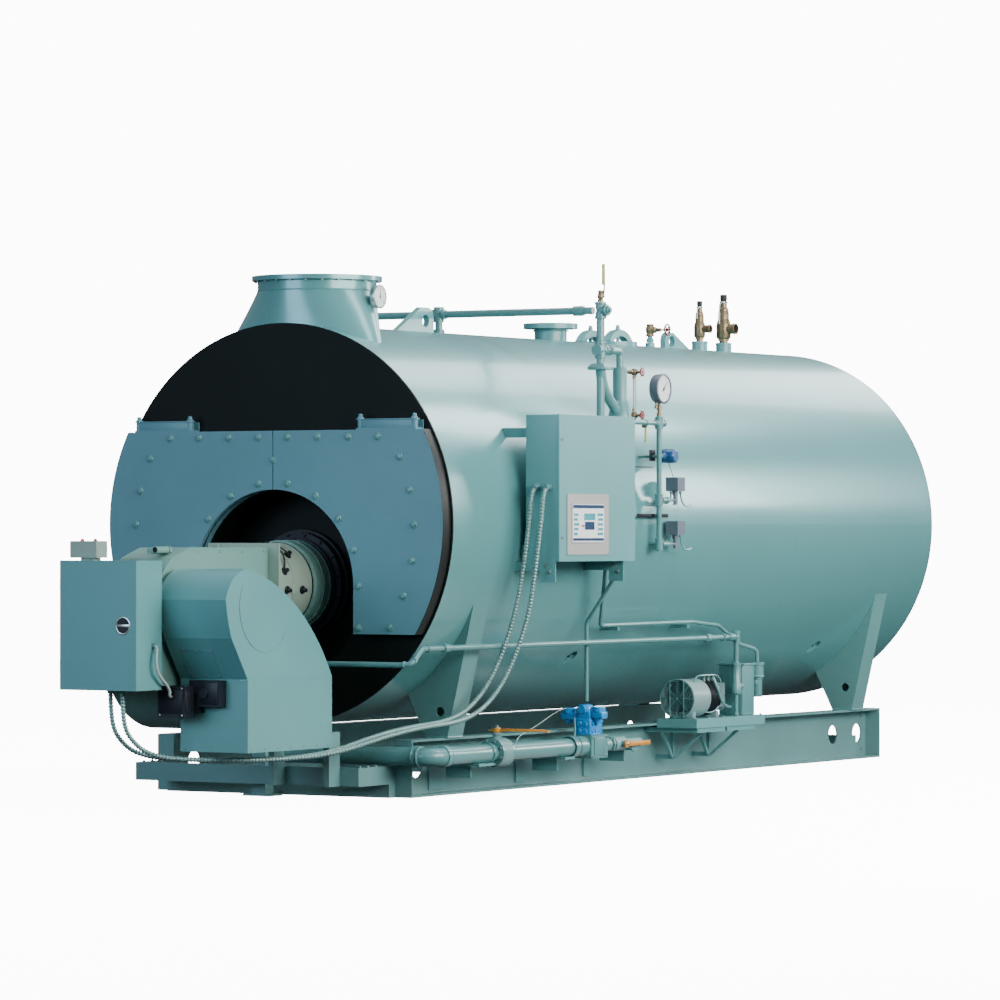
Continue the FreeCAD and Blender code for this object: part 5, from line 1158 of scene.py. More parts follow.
# ---------------------------------------------------------------- cabinets
@dataclass
class MainCabinet:
    """Display, hubs and hem of the control cabinet's door."""

    face_x: float = 1540.0
    front_y: float = 793.0
    back_y: float = 1744.0
    low_z: float = 1446.0
    high_z: float = 2357.0

    def build(self) -> None:
        """Makes the door's hem and panel, the display with its generic picture, and the hubs."""
        self._display()
        hem = Shape()
        x = self.face_x
        for low, high in (((x - 19, self.front_y - 1.5, self.low_z - 1),
                           (x - 1, self.front_y, self.high_z + 1)),
                          ((x - 19, self.back_y, self.low_z - 1),
                           (x - 1, self.back_y + 1.5, self.high_z + 1)),
                          ((x - 19, self.front_y, self.high_z),
                           (x - 1, self.back_y, self.high_z + 1.5)),
                          ((x - 19, self.front_y, self.low_z - 1.5),
                           (x - 1, self.back_y, self.low_z))):
            hem.block(low, high, 0.5, 1)
        hem.finish("panel_door_hem", PAINT, "panel_door")
        catches = Shape()
        for z in (self.low_z + 150, self.high_z - 150):
            catches.turned([(0, 0), (13, 0), (13, 3), (10, 5), (0, 5)], (x, self.front_y + 34, z),
                           Axis.RIGHT, 24)
            catches.block((x + 4, self.front_y + 32, z - 8), (x + 6, self.front_y + 36, z + 8),
                          0.4, 1)
        catches.finish("panel_catches", ZINC, "panel_door")
        hubs = Shape()
        for hub_x in (1379, 1465):
            hubs.turned([(0, 0), (26, 0), (26, 8), (22, 11), (22, 24), (18, 28), (16, 46),
                         (0, 46)],
                        (hub_x, self.front_y, 1907), Axis.FRONT, 8)
        hubs.finish("conduit_hubs", HEADER)
        bolts = Shape()
        for y in (self.front_y, self.back_y - 100):
            bolts.bolt((1470, y, 1380), Axis.FRONT, 9)
            bolts.bolt((1440, y, 1420), Axis.FRONT, 7)
        bolts.finish("hanger_bolts", ZINC)

    def _display(self) -> None:
        """A bezel with a raised frame and a plain picture of bars and a vessel."""
        x, y0, y1, z0, z1 = 1546.0, 945.0, 1338.0, 1568.0, 1802.0
        frame_bars = Shape()
        for low, high in (((x, y0 - 12, z0 - 12), (x + 3, y1 + 12, z0)),
                          ((x, y0 - 12, z1), (x + 3, y1 + 12, z1 + 12)),
                          ((x, y0 - 12, z0), (x + 3, y0, z1)),
                          ((x, y1, z0), (x + 3, y1 + 12, z1))):
            frame_bars.block(low, high, 0.8, 1)
        frame_bars.finish("display_frame", BEZEL, "panel_door")
        Shape().block((x - 0.5, y0, z0), (x + 1.2, y1, z1), 0.3, 1).finish(
            "display_screen", SCREEN, "panel_door")
        ink, teal, red = Shape(), Shape(), Shape()
        top = x + 1.7
        ink.block((x + 1, y0 + 4, z1 - 26), (top, y1 - 4, z1 - 5), 0.1, 1)
        ink.block((x + 1, y0 + 4, z0 + 5), (top, y1 - 4, z0 + 22), 0.1, 1)
        ink.block((x + 1, y0 + 150, z0 + 74), (top, y0 + 270, z0 + 124), 0.1, 1)
        for i in range(5):
            teal.block((x + 1, y0 + 14, z0 + 40 + 30 * i),
                       (top, y0 + 60 + 9 * (i % 3), z0 + 56 + 30 * i), 0.1, 1)
            teal.block((x + 1, y1 - 86 + 7 * (i % 2), z0 + 40 + 30 * i),
                       (top, y1 - 14, z0 + 56 + 30 * i), 0.1, 1)
        teal.block((x + 1, y0 + 140, z0 + 134), (top, y0 + 280, z0 + 176), 0.1, 1)
        red.block((x + 1, y0 + 112, z0 + 92), (top, y0 + 146, z0 + 104), 0.1, 1)
        ink.finish("display_bars", INK, "panel_door")
        teal.finish("display_blocks", TEAL, "panel_door")
        red.finish("display_flow", LAMP, "panel_door")
        screws = Shape()
        for y in (892, 1388):
            for z in (1497, 1855):
                screws.turned([(0, 0), (5, 0), (4, 2.4), (0, 3)], (x, y, z), Axis.RIGHT, 16)
        screws.finish("display_screws", STEEL, "panel_door")


@dataclass
class BurnerCabinet:
    """Turn latch, hem, lamps and glands of the cabinet on the burner's nose."""

    face_y: float = -1931.0
    left_x: float = -284.0
    right_x: float = 265.0
    low_z: float = 698.0
    high_z: float = 1460.0
    latch: tuple[float, float] = (172.0, 1079.0)

    def build(self) -> None:
        """Makes the door's fittings and the lamps."""
        x, z = self.latch
        y = self.face_y
        recess = Shape().turned([(0, 0), (47, 0), (47, 1), (0, 1)], (x, y, z), Axis.FRONT, 48)
        recess.finish("latch_recess", DARK, "burner_door")
        ring = Shape().turned([(45, -1), (52, -1), (53, 1.2), (50, 2.4), (46, 2.4), (44, 1.2),
                               (45, -1)],
                              (x, y, z), Axis.FRONT, 56)
        ring.block((x - 45, y - 2.8, z - 9), (x + 45, y - 0.4, z + 7), 0.8)
        ring.finish("latch_ring", STEEL, "burner_door")
        hem = Shape()
        for low, high in (((self.left_x - 1.5, y + 1, self.low_z),
                           (self.left_x, y + 19, self.high_z)),
                          ((self.right_x, y + 1, self.low_z),
                           (self.right_x + 1.5, y + 19, self.high_z)),
                          ((self.left_x, y + 1, self.high_z),
                           (self.right_x, y + 19, self.high_z + 1.5)),
                          ((self.left_x, y + 1, self.low_z - 1.5),
                           (self.right_x, y + 19, self.low_z))):
            hem.block(low, high, 0.5, 1)
        hem.finish("burner_door_hem", PAINT, "burner_door")
        lamps = Shape()
        for x in (-215, -120):
            lamps.turned([(0, 0), (12, 0), (12, 4), (8, 12), (0, 14)], (x, -1800, 1576), Axis.UP,
                         20)
        lamps.finish("signal_lamps", LAMP)
        lids = Shape().block((-264, -1858.5, 1480), (-70, -1856.8, 1572), 0.6, 1)
        for x in (-252, -82):
            for z in (1492, 1560):
                lids.turned([(0, 0), (5, 0), (4, 2), (0, 2.6)], (x, -1858.5, z), Axis.FRONT, 14)
        lids.finish("signal_lids", CREAM)
        glands = Shape()
        for x in (-10, 75):
            glands.turned([(0, 0), (24, 0), (24, 8), (19, 12), (19, 22), (0, 22)],
                          (x, -1800, self.low_z), Axis.DOWN, 8)
        glands.turned([(0, 0), (17, 0), (17, 8), (13, 20), (0, 20)], (self.right_x, -1757, 960),
                      Axis.RIGHT, 8)
        glands.finish("burner_glands", HEADER)


# ---------------------------------------------------------------- burner
@dataclass
class Burner:
    """Sheet details of the fan housing, its inlet hood and the barrel with its fittings."""

    inlet_face_x: float = 710.0
    inlet_front_y: float = -1421.0
    barrel_y: float = -419.0
    axis_z: float = 1299.0
    barrel_r: float = 257.0

    def build(self) -> None:
        """Makes the burner's fasteners, seams, ports and cables."""
        self._inlet()
        self._housing()
        self._barrel()
        self._collar()
        self._actuator()
        self._motor()

    def _inlet(self) -> None:
        """The pressed ring on the hood's face, its fold lines and its access plate."""
        x = self.inlet_face_x
        groove = Shape()
        centre_y, centre_z, radius = -1240.0, 1188.0, 268.0
        arc = [(x + 0.5, centre_y + radius * math.cos(a), centre_z + radius * math.sin(a))
               for a in [math.radians(152 + i * 9.2) for i in range(20)]]
        groove.wire(arc, 2.6, straight=True)
        groove.finish("hood_ring", FRAME)
        seam = Shape()
        seam.block((x - 0.2, self.inlet_front_y - 80, 756), (x + 1.0, -513, 759), 0.3, 1)
        seam.block((228, -1422.4, 756), (x, -1420.6, 759), 0.3, 1)
        seam.finish("hood_folds", PAINT)
        slope, outward = (-0.569, 0.823), (0, -0.823, -0.569)

        def on_slope(across: float, up: float) -> Point:
            """A point on the hood's slanted face.

            Args:
                across: its place in x.
                up: its distance from the fold.

            Returns:
                The point.
            """
            return (across, self.inlet_front_y + slope[0] * up, 757 + slope[1] * up)

        plate = Shape().wire([on_slope(314, 18), on_slope(536, 18), on_slope(536, 214),
                              on_slope(314, 214)], 2.4, closed=True, straight=True)
        plate.finish("access_plate", FRAME)
        screws = Shape()
        for sx in (328, 425, 522):
            for up in (30, 202):
                screws.turned([(0, 0), (7, 0), (7, 2), (5, 4), (0, 4.5)], on_slope(sx, up),
                              outward, 12)
        for y in (-1380, -1240, -1100, -960, -820, -680, -560):
            screws.bolt((x, y, 345), Axis.RIGHT, 4.5, 1.2, 0.6)
        for sx in (260, 470, 680):
            screws.bolt((sx, -1421, 345), Axis.FRONT, 4.5, 1.2, 0.6)
        screws.finish("hood_screws", ZINC)

    def _housing(self) -> None:
        """Gasket against the hood, fasteners, seams and the vent stub, with a black disc of painted
        shade in its mouth.
        """
        gasket = Shape()
        rim = [(196, -935 + 470 * math.cos(a), 950 + 440 * math.sin(a))
               for a in [math.radians(-42 + i * 8.4) for i in range(27)]]
        gasket.wire(rim, 4.2, straight=True)
        gasket.finish("housing_gasket", RUBBER)
        screws = Shape()
        for turn in (10, 42, 74, 106, 138, 170):
            a = math.radians(turn)
            screws.bolt((183, -935 + 500 * math.cos(a), 950 + 470 * math.sin(a)), Axis.RIGHT, 7,
                        1.3, 0.6)
        for y in (-1180, -940, -700, -470):
            screws.bolt((183, y, 1508), Axis.RIGHT, 5, 1.2, 0.6)
        screws.finish("housing_screws", ZINC)
        seam = Shape().block((-184, -1250, 1520), (184, -421, 1523), 0.4, 1)
        seam.block((-176, -446, 1046), (-170, -421, 1552), 1)
        seam.finish("housing_seams", HOUSING)
        vent = Shape().turned([(18, 0), (21, 0), (21, 150), (18, 150), (18, 0)],
                              (94, -1496, 1522), Axis.BACK, 28)
        vent.turned([(0, 0), (27, 0), (27, 6), (0, 6)], (94, -1372, 1522), Axis.BACK, 28)
        vent.finish("vent_stub", HOUSING)
        # Painted shade: a black disc just inside the vent stub stands in for the shade down its
        # bore.
        Shape().rod((94, -1490, 1522), Axis.BACK, 18, 12, 0.2).finish("vent_bore_painted_shade", SHADOW)

    def _barrel(self) -> None:
        """Sight port, pilot fittings, ignition leads and the flanged joint's bolts."""
        z, r = self.axis_z, self.barrel_r
        bolts = Shape()
        for x in (-232, -80, 80, 232):
            for edge in (z - 244, z + 244):
                bolts.bolt((x, self.barrel_y + 12, edge), Axis.BACK, 9, 1.3)
        for edge_z in (z - 130, z, z + 130):
            for side in (-1, 1):
                bolts.bolt((side * 246, self.barrel_y + 12, edge_z), Axis.BACK, 9, 1.3)
        bolts.finish("joint_bolts", ZINC)
        bands = Shape()
        for y, depth in ((-404, 8), (-250, 5), (-58, 12)):
            bands.ring((0, y, z), Axis.BACK, r - 4, r + 5, depth, 1.5, 72)
        bands.finish("barrel_bands", CREAM)
        ports = Shape()
        for turn, y in ((20, -330), (-6, -320), (-6, -150), (46, -200), (70, -300)):
            a = math.radians(turn)
            way = (math.cos(a), 0, math.sin(a))
            at = (r * math.cos(a), y, z + r * math.sin(a))
            ports.turned([(0, -4), (26, -4), (26, 5), (16, 8), (16, 20), (11, 24), (0, 24)], at,
                         way, 24)
            ports.turned([(0, 0), (13, 0), (13, 9), (0, 9)], tuple(Vector(at) + Vector(way) * 24),
                         way, 6)
        ports.finish("barrel_ports", DARK)
        leads = Shape()
        leads.wire([(150, -372, z + 240), (196, -330, z + 236), (226, -290, z + 172),
                    (244, -330, z + 96)], 6)
        leads.wire([(120, -372, z + 252), (170, -300, z + 250), (214, -220, z + 190),
                    (190, -200, z + 186)], 5)
        leads.finish("barrel_leads", RUBBER)
        tag = Shape().block((252, -268, z - 54), (262, -196, z + 12), 1.5)
        tag.finish("barrel_block", CREAM)

    def _collar(self) -> None:
        """The mounting flange's ring of studs and its machined steps."""
        z = self.axis_z
        studs = Shape()
        for i in range(16):
            a = FULL_TURN * (i + 0.5) / 16
            x, up = 318 * math.cos(a), 318 * math.sin(a)
            studs.bolt((x, 174, z + up), Axis.FRONT, 11, 1.4)
        for i in range(12):
            a = FULL_TURN * i / 12
            studs.bolt((284 * math.cos(a), 150, z + 284 * math.sin(a)), Axis.FRONT, 7, 1.2)
        studs.finish("collar_studs", DARK)
        steps = Shape()
        for y, r in ((-28, 279), (60, 280), (132, 279)):
            steps.ring((0, y, z), Axis.BACK, r - 5, r, 8, 2, 72)
        steps.finish("collar_steps", HOUSING)
        sleeve = Shape().ring((0, -40.5, z), Axis.BACK, 266, 275, 190, 2, 96)
        sleeve.finish("collar_sleeve", HOUSING)

    def _actuator(self) -> None:
        """Cover lines, screws and the shaft hub of the damper drive."""
        screws = Shape()
        for x in (204, 362):
            for z in (546, 704):
                screws.bolt((x, -1600, z), Axis.FRONT, 5, 1.2, 0.5)
        screws.finish("actuator_screws", STEEL)
        cover = Shape().block((200, -1603, 556), (366, -1599, 694), 2)
        cover.block((374, -1588, 560), (380, -1500, 690), 1.5)
        cover.rod((450, -1494, 676), Axis.FRONT, 30, 14, 2)
        cover.block((420, -1498, 612), (545, -1489, 740), 3)
        cover.turned([(0, 0), (17, 0), (17, 16), (13, 20), (0, 20)], (295, -1600, 655), Axis.FRONT,
                     20)
        cover.finish("actuator_cover", DARK)

    def _motor(self) -> None:
        """Cooling fins, end bell and cowl of the fan motor on the hidden side."""
        low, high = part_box("fan_motor")
        centre_y = -1085.0
        centre_z = 950.0
        near, far = high.x / MILLIMETRE, low.x / MILLIMETRE
        fins = Shape()
        for i in range(28):
            a = FULL_TURN * i / 28
            c, s = math.cos(a), math.sin(a)
            fins.wire([(near - 40, centre_y + 152 * c, centre_z + 152 * s),
                       (far + 80, centre_y + 152 * c, centre_z + 152 * s)], 4.5, straight=True,
                      sides=1)
        fins.finish("motor_fins", PAINT)
        cowl = Shape().turned([(0, 2), (120, 2), (148, 12), (156, 26), (156, 74), (150, 78),
                               (0, 78)],
                              (far + 1, centre_y, centre_z), Axis.RIGHT, 48)
        cowl.turned([(0, 0), (156, 0), (160, 4), (160, 26), (150, 30), (0, 30)],
                    (near - 34, centre_y, centre_z), Axis.RIGHT, 48)
        cowl.finish("motor_cowl", PAINT)


# ---------------------------------------------------------------- gas train
@dataclass
class GasTrain:
    """Couplings, bolts, actuators, sense line and levers of the gas supply."""

    x: float = 1150.0
    z: float = 258.0
    radius: float = 57.0

    def build(self) -> None:
        """Makes the gas train's detail pieces."""
        x, z, r = self.x, self.z, self.radius
        bands = Shape()
        for y, wide in ((30, 10), (76, 10), (560, 12), (1562, 8), (1612, 8), (1650, 12),
                        (1726, 12)):
            bands.ring((x, y, z), Axis.BACK, r - 2, r + 10, wide, 2.5, 56)
        bands.ring((1020, -60, z), Axis.RIGHT, r - 2, r + 10, 10, 2.5, 56)
        bands.ring((x - 94, -60, z), Axis.RIGHT, r - 2, r + 10, 10, 2.5, 56)
        for y in (2004, 2050, 2096):
            bands.turned([(0, 0), (44, 0), (46, 3), (46, 13), (44, 16), (0, 16)], (x, y, z),
                         Axis.BACK, 8)
        bands.turned([(0, 0), (40, 0), (40, 18), (0, 18)], (x, 2262, z), Axis.BACK, 6)
        bands.finish("gas_couplings", HEADER)
        bolts = Shape()
        for i in range(8):
            a = FULL_TURN * (i + 0.5) / 8
            for y, way in ((610, Axis.FRONT), (757, Axis.BACK)):
                bolts.bolt((x + 78 * math.cos(a), y + (10 if way is Axis.FRONT else 0),
                            z + 78 * math.sin(a)),
                           way, 8, 1.3)
        for dy in (20, 190):
            for dz in (-62, 56):
                bolts.bolt((x + 72, 1740 + dy, z + dz), Axis.RIGHT, 7, 1.3)
        for dz in (-50, 40):
            bolts.bolt((x + 40, 1740, z + dz), Axis.FRONT, 7, 1.3)
        bolts.finish("gas_bolts", ZINC)
        plate = Shape().block((x + 70, 1776, z - 60), (x + 78, 1914, z + 54), 2)
        plate.finish("valve_side_plate", HEADER)
        self._actuators()
        self._levers()
        sense = Shape().wire([(x, 930, z + r), (x - 2, 930, z + r + 30), (x - 30, 1240, z + 150),
                              (x - 90, 1600, z + 236), (x - 120, 1750, z + 240)], 2.5)
        sense.finish("sense_line", PALE)
        drain = Shape().wire([(x - 30, 1700, z + 40), (x - 30, 1706, z + 90),
                              (x - 40, 1722, z + 150),
                              (x - 60, 1750, z + 176)], 7)
        drain.finish("pilot_line", HEADER)
        stays = Shape()
        for y in (410, 530, 1460, 1520, 2330):
            stays.bolt((1192, y, 182 if y < 2000 else 209), Axis.DOWN, 7, 1.4)
        stays.finish("stay_bolts", ZINC)

    def _actuators(self) -> None:
        """The pair of bright valve drives: ribbed towers, round lids and side switches."""
        x, z = self.x, self.z
        drive = Shape()
        drive.block((x - 58, 1748, z + 72), (x + 58, 1856, z + 176), 8, 3)
        drive.block((x - 50, 1756, z + 168), (x + 50, 1850, z + 232), 10, 3)
        drive.turned([(0, 0), (58, 0), (58, 10), (50, 14), (50, 30), (42, 42), (26, 50), (0, 52)],
                     (x, 1802, z + 216), Axis.UP, 36)
        drive.rod((x - 8, 1750, z + 236), Axis.FRONT, 32, 6, 3)
        drive.rod((x + 36, 1802, z + 224), Axis.RIGHT, 30, 24, 4)
        for side, reach, low in ((-1, 118, 166), (1, 78, 176)):
            near, far = x + side * 54, x + side * (58 + reach)
            drive.block((min(near, far), 1766, z + low), (max(near, far), 1842, z + low + 46), 8,
                        3)
            drive.turned([(0, 0), (40, 0), (44, 5), (44, 30), (38, 36), (0, 38)],
                         (far - side * 46, 1804, z + low + 40), Axis.UP, 28)
            drive.rod((far - side * 46, 1804, z + low - 26), Axis.UP, 27, 34, 4)
        for step in (-34, 6):
            for level in (84, 132):
                drive.rod((x + step + 14, 1750, z + level + 12), Axis.FRONT, 16, 9, 3, 20)
                drive.rod((x + 56, 1780 + (step + 34), z + level + 12), Axis.RIGHT, 15, 11, 3, 20)
        drive.block((x - 44, 1856, z + 72), (x + 50, 1920, z + 186), 7, 3)
        drive.block((x - 66, 1742, z + 72), (x + 66, 1862, z + 84), 3)
        drive.finish("valve_drives", ACTUATOR, "base", "gas_valve_actuators")

    def _levers(self) -> None:
        """Shafts, nuts and stiffening ribs of the two orange levers."""
        x, z = self.x, self.z
        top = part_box("butterfly_lever")[1].z / MILLIMETRE
        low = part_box("butterfly_lever")[0].z / MILLIMETRE
        lever = Shape().turned([(0, 0), (24, 0), (26, 3), (26, 26), (22, 30), (0, 30)],
                               (x, 690, low + 1),
                               Axis.UP, 32)
        lever.block((x - 56, 677, low + 9), (x + 376, 703, low + 20), 3)
        lever.block((x + 20, 686, low + 18), (x + 350, 694, low + 27), 2)
        lever.rod((x + 366, 690, low + 8), Axis.UP, 15, 13, 2, 24)
        lever.finish("throttle_lever_bar", ORANGE, "throttle_lever", "butterfly_lever")
        shaft = Shape().turned([(0, 0), (12, 0), (12, 16), (9, 18), (0, 18)], (x, 690, top - 6),
                               Axis.UP, 6)
        shaft.finish("throttle_nut", ZINC, "throttle_lever")
        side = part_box("gas_ball_valve_lever")[0].x / MILLIMETRE
        bar = Shape().turned([(0, 0), (26, 0), (28, 3), (28, 10), (24, 13), (0, 13)],
                             (side + 1, 2190, z),
                             Axis.RIGHT, 8)
        bar.block((side + 4, 2196, z - 15), (side + 14, 2490, z + 15), 3)
        bar.block((side + 12, 2216, z - 4), (side + 19, 2476, z + 4), 2)
        bar.finish("shutoff_lever_bar", ORANGE, "shutoff_lever", "gas_ball_valve_lever")
        nut = Shape().turned([(0, 0), (12, 0), (12, 8), (9, 10), (0, 10)], (side + 13, 2190, z),
                             Axis.RIGHT, 6)
        nut.finish("shutoff_nut", STEEL, "shutoff_lever")


# ---------------------------------------------------------------- air compressor
@dataclass
class Compressor:
    """Fan guard, pump barrel, hoses, receiver and filters on the side shelf."""

    axis_x: float = 1088.0
    axis_z: float = 520.0
    front_y: float = 3107.0
    shelf_z: float = 388.0
    riser_x: float = 1190.0

    def build(self) -> None:
        """Makes the compressor set's pieces."""
        self._pump()
        self._guard()
        self._plumbing()
        self._receiver()

    def _pump(self) -> None:
        """The barrel with its rolled edge, end plate and feet, and a black disc of painted shade
        deep in the barrel behind the fan.
        """
        x, y, z = self.axis_x, self.front_y, self.axis_z
        barrel = Shape().turned([(122, 8), (130, 10), (130, 70), (127, 74), (127, 218), (130, 222),
                                 (130, 238), (114, 248), (112, 250), (112, 420), (104, 432),
                                 (60, 440),
                                 (0, 440), (0, 424), (96, 424), (104, 410), (104, 256), (120, 244),
                                 (120, 12), (122, 8)], (x, y, z), Axis.BACK, 56)
        for step in (60, 380):
            barrel.block((x - 92, y + step, self.shelf_z),
                         (x + 92, y + step + 36, self.shelf_z + 42), 4)
        barrel.finish("pump_barrel", MACHINE, "base", "compressor_motor")
        ribs = Shape()
        for i in range(9):
            ribs.ring((x, y + 268 + 16 * i, z), Axis.BACK, 108, 120, 5, 1, 48)
        ribs.finish("pump_ribs", DARK)
        # Painted shade: a black disc behind the fan blades stands in for the shade inside the
        # barrel.
        Shape().rod((x, y + 90, z), Axis.FRONT, 119, 10, 1).finish("fan_well_painted_shade", SHADOW)

    def _guard(self) -> None:
        """Concentric wires, cross bars and the fan blades behind them."""
        x, y, z = self.axis_x, self.front_y, self.axis_z
        wires = Shape()
        for radius in range(28, 128, 11):
            wires.bar_ring((x, y + 4, z), Axis.FRONT, radius, 1.8, 40)
        for i in range(4):
            a = math.pi * i / 4
            wires.wire([(x + 124 * math.cos(a), y + 2, z + 124 * math.sin(a)),
                        (x - 124 * math.cos(a), y + 2, z - 124 * math.sin(a))], 2.2, straight=True,
                       sides=1)
        for side in (-52, 52):
            wires.wire([(x + side, y - 3, z - 124), (x + side, y - 3, z + 118)], 3.6,
                       straight=True)
        wires.bar_ring((x, y + 4, z), Axis.FRONT, 127, 4.0, 56)
        wires.finish("guard_wires", HEADER)
        blades = Shape()
        for i in range(7):
            a = FULL_TURN * i / 7
            tip = (x + 108 * math.cos(a), y + 62, z + 108 * math.sin(a))
            blades.wire([(x, y + 52, z), ((x + tip[0]) / 2, y + 30, (z + tip[2]) / 2), tip], 7,
                        sides=1)
        blades.rod((x, y + 30, z), Axis.BACK, 26, 40, 4)
        blades.finish("fan_blades", DARK)

    def _plumbing(self) -> None:
        """Copper-thin lines, hoses and gauge cocks round the pump."""
        x, y, z = self.axis_x, self.front_y, self.axis_z
        lines = Shape()
        lines.wire([(x + 70, y + 110, z + 108), (x + 76, y + 116, z + 150),
                    (x + 84, y + 250, z + 152),
                    (x + 90, y + 420, z + 152), (x + 92, y + 440, z + 100)], 5)
        lines.wire([(x + 94, y + 330, z + 130), (x + 120, y + 350, z + 60),
                    (x + 124, y + 400, z - 40),
                    (x + 110, y + 520, z - 70), (x + 80, y + 600, z - 70)], 10)
        lines.wire([(x + 60, y + 250, z - 90), (x + 110, y + 300, z - 116),
                    (x + 120, y + 360, z - 60)], 5)
        lines.finish("pump_lines", HEADER)
        cocks = Shape()
        for step in (300, 360, 420):
            cocks.turned([(0, 0), (12, 0), (12, 18), (8, 22), (8, 36), (13, 38), (13, 48),
                          (0, 48)],
                         (x + 40, y + step, z + 100), Axis.UP, 12)
        cocks.finish("pump_cocks", ZINC)
        head = Shape().block((x - 60, y + 446, z - 90), (x + 60, y + 560, z + 84), 8, 3)
        for i in range(6):
            head.block((x - 66, y + 458 + 17 * i, z - 80), (x + 66, y + 463 + 17 * i, z + 92), 1,
                       1)
        head.finish("pump_head", MACHINE)

    def _receiver(self) -> None:
        """The oil tank, sump jar and filter bowls with their caps and bands."""
        jar_y, bowl_y = 3748.0, 4048.0
        x, base = self.riser_x, self.shelf_z
        metal = Shape()
        metal.block((1010, 3828, base), (1198, 3998, base + 340), 10, 3)
        metal.block((1004, 3822, base + 336), (1206, 4004, base + 350), 3)
        metal.rod((1100, 3900, base + 348), Axis.UP, 26, 16, 4)
        metal.turned([(0, 0), (17, 0), (17, 16), (13, 20), (13, 140), (22, 142), (34, 152),
                      (36, 168),
                      (36, 204), (30, 214), (30, 336), (34, 340), (34, 356), (20, 360), (17, 364),
                      (17, 500), (27, 502), (27, 570), (22, 573), (0, 573)], (x, jar_y, base),
                     Axis.UP, 36)
        metal.rod((x, jar_y, base + 200), Axis.BACK, 17, 84)
        metal.turned([(0, 120), (30, 120), (34, 126), (34, 236), (38, 240), (38, 252), (49, 254),
                      (49, 262), (44, 268), (44, 330), (49, 336), (49, 352), (44, 355), (0, 355)],
                     (x, bowl_y, base), Axis.UP, 36)
        metal.block((x - 20, 3994, base + 206), (x + 20, bowl_y, base + 236), 3)
        metal.rod((x, jar_y, 921), Axis.FRONT, 27, 30, 2)
        metal.finish("air_receiver", HEADER, "base", "air_tank_and_filters")
        bolts = Shape()
        for y in (3110, 3300, 3500, 3700, 3900, 4030):
            bolts.bolt((1226, y, base), Axis.UP, 9, 1.4)
        bolts.finish("shelf_bolts", ZINC)


# ---------------------------------------------------------------- hoses and lines
@dataclass
class Hoses:
    """Corrugated conduits to the burner, the pale lead and the unions on the air line."""

    valley: float = 11.4
    ridge: float = 15.4
    pitch: float = 21.0
    line: tuple[float, float] = (1190.0, 921.0)
    nuts_y: tuple[float, float] = (20.0, 3350.0)

    def build(self) -> None:
        """Makes the hoses in place of their CAD solids, and the air line's unions."""
        ribs = Shape()
        for number, shift in enumerate((0, 86)):
            x, lift, end = 1379.0 + shift, 24.0 * number, 85.0 * number - 10
            route = [(x, 792, 1907), (x, 731, 1907), (x, 697, 1696), (x - 30, 683, 1416),
                     (x - 90, 681 + lift, 1126), (x - 170, 653 + lift, 866),
                     (x - 235, 568 + lift, 656),
                     (x - 270, 393 + lift, 521), (x - 290, 153 + lift, 461), (x - 330, -160, 444),
                     (x - 400, -440, 400), (820 + 50 * number, -760, 292),
                     (600 + 50 * number, -1120, 270), (330 + 60 * number, -1440, 276),
                     (end + 90, -1640, 300), (end + 16, -1770, 420), (end, -1800, 560),
                     (end, -1800, 698)]
            Route(route).ribbed(ribs, self.valley, self.ridge, self.pitch)
        ribs.finish("ribbed_conduits", SLEEVE, "base", "flexible_conduits", angle=60)
        lead = Shape().wire([(266, -1757, 960), (296, -1757, 960), (304, -1782, 890),
                             (308, -1778, 800),
                             (301, -1631, 700), (295, -1635, 655), (295, -1600, 655)], 9, sides=5)
        lead.finish("actuator_lead", PALE)
        unions = Shape()
        x, z = self.line
        for y in (-6, 20, 46, 3324, 3350, 3376, 3560, 3640):
            facets = 8 if y in self.nuts_y else Shape.DEFAULT_STEPS
            unions.turned([(0, -6), (24, -6), (27, -3), (27, 3), (24, 6), (0, 6)], (x, y, z),
                          Axis.BACK, facets)
        unions.turned([(0, 0), (25, 0), (25, 60), (22, 62), (0, 62)], (x, 3652, z), Axis.BACK, 8)
        for at, way in (((x, -200, z), Axis.BACK), ((x, -340, 850), Axis.FRONT),
                        ((1150, -375, 826), Axis.LEFT)):
            unions.ring(at, way, 15, 23, 16, 3, 28)
        unions.finish("air_unions", HEADER)


# ---------------------------------------------------------------- base and rear
class Underframe:
    """Welds and fasteners of the skid and its saddles."""

    BASE_TOP = 358

    def build(self) -> None:
        """Makes the saddle welds and the frame bolts."""
        beads = Shape()
        top = self.BASE_TOP
        for side in (-1, 1):
            for y0, y1 in ((415, 595), (5917, 6097)):
                inner, corner, rear = ((side * 802, y0 + 2, top), (side * 957, y0 + 2, top),
                                       (side * 957, y1 - 2, top))
                beads.wire([inner, corner], 5, straight=True)
                beads.wire([corner, rear], 5, straight=True)
        beads.finish("saddle_welds", PAINT)
        bolts = Shape()
        for side in (-1, 1):
            for y in (-340, -250, -160, -70):
                bolts.bolt((side * 800, y, 196), Axis.UP, 9, 1.4)
            for y in (120, 6300):
                for z in (60, 295):
                    bolts.bolt((side * 835, y, z), Axis.RIGHT if side > 0 else Axis.LEFT, 9, 1.4)
        bolts.finish("frame_bolts", ZINC)


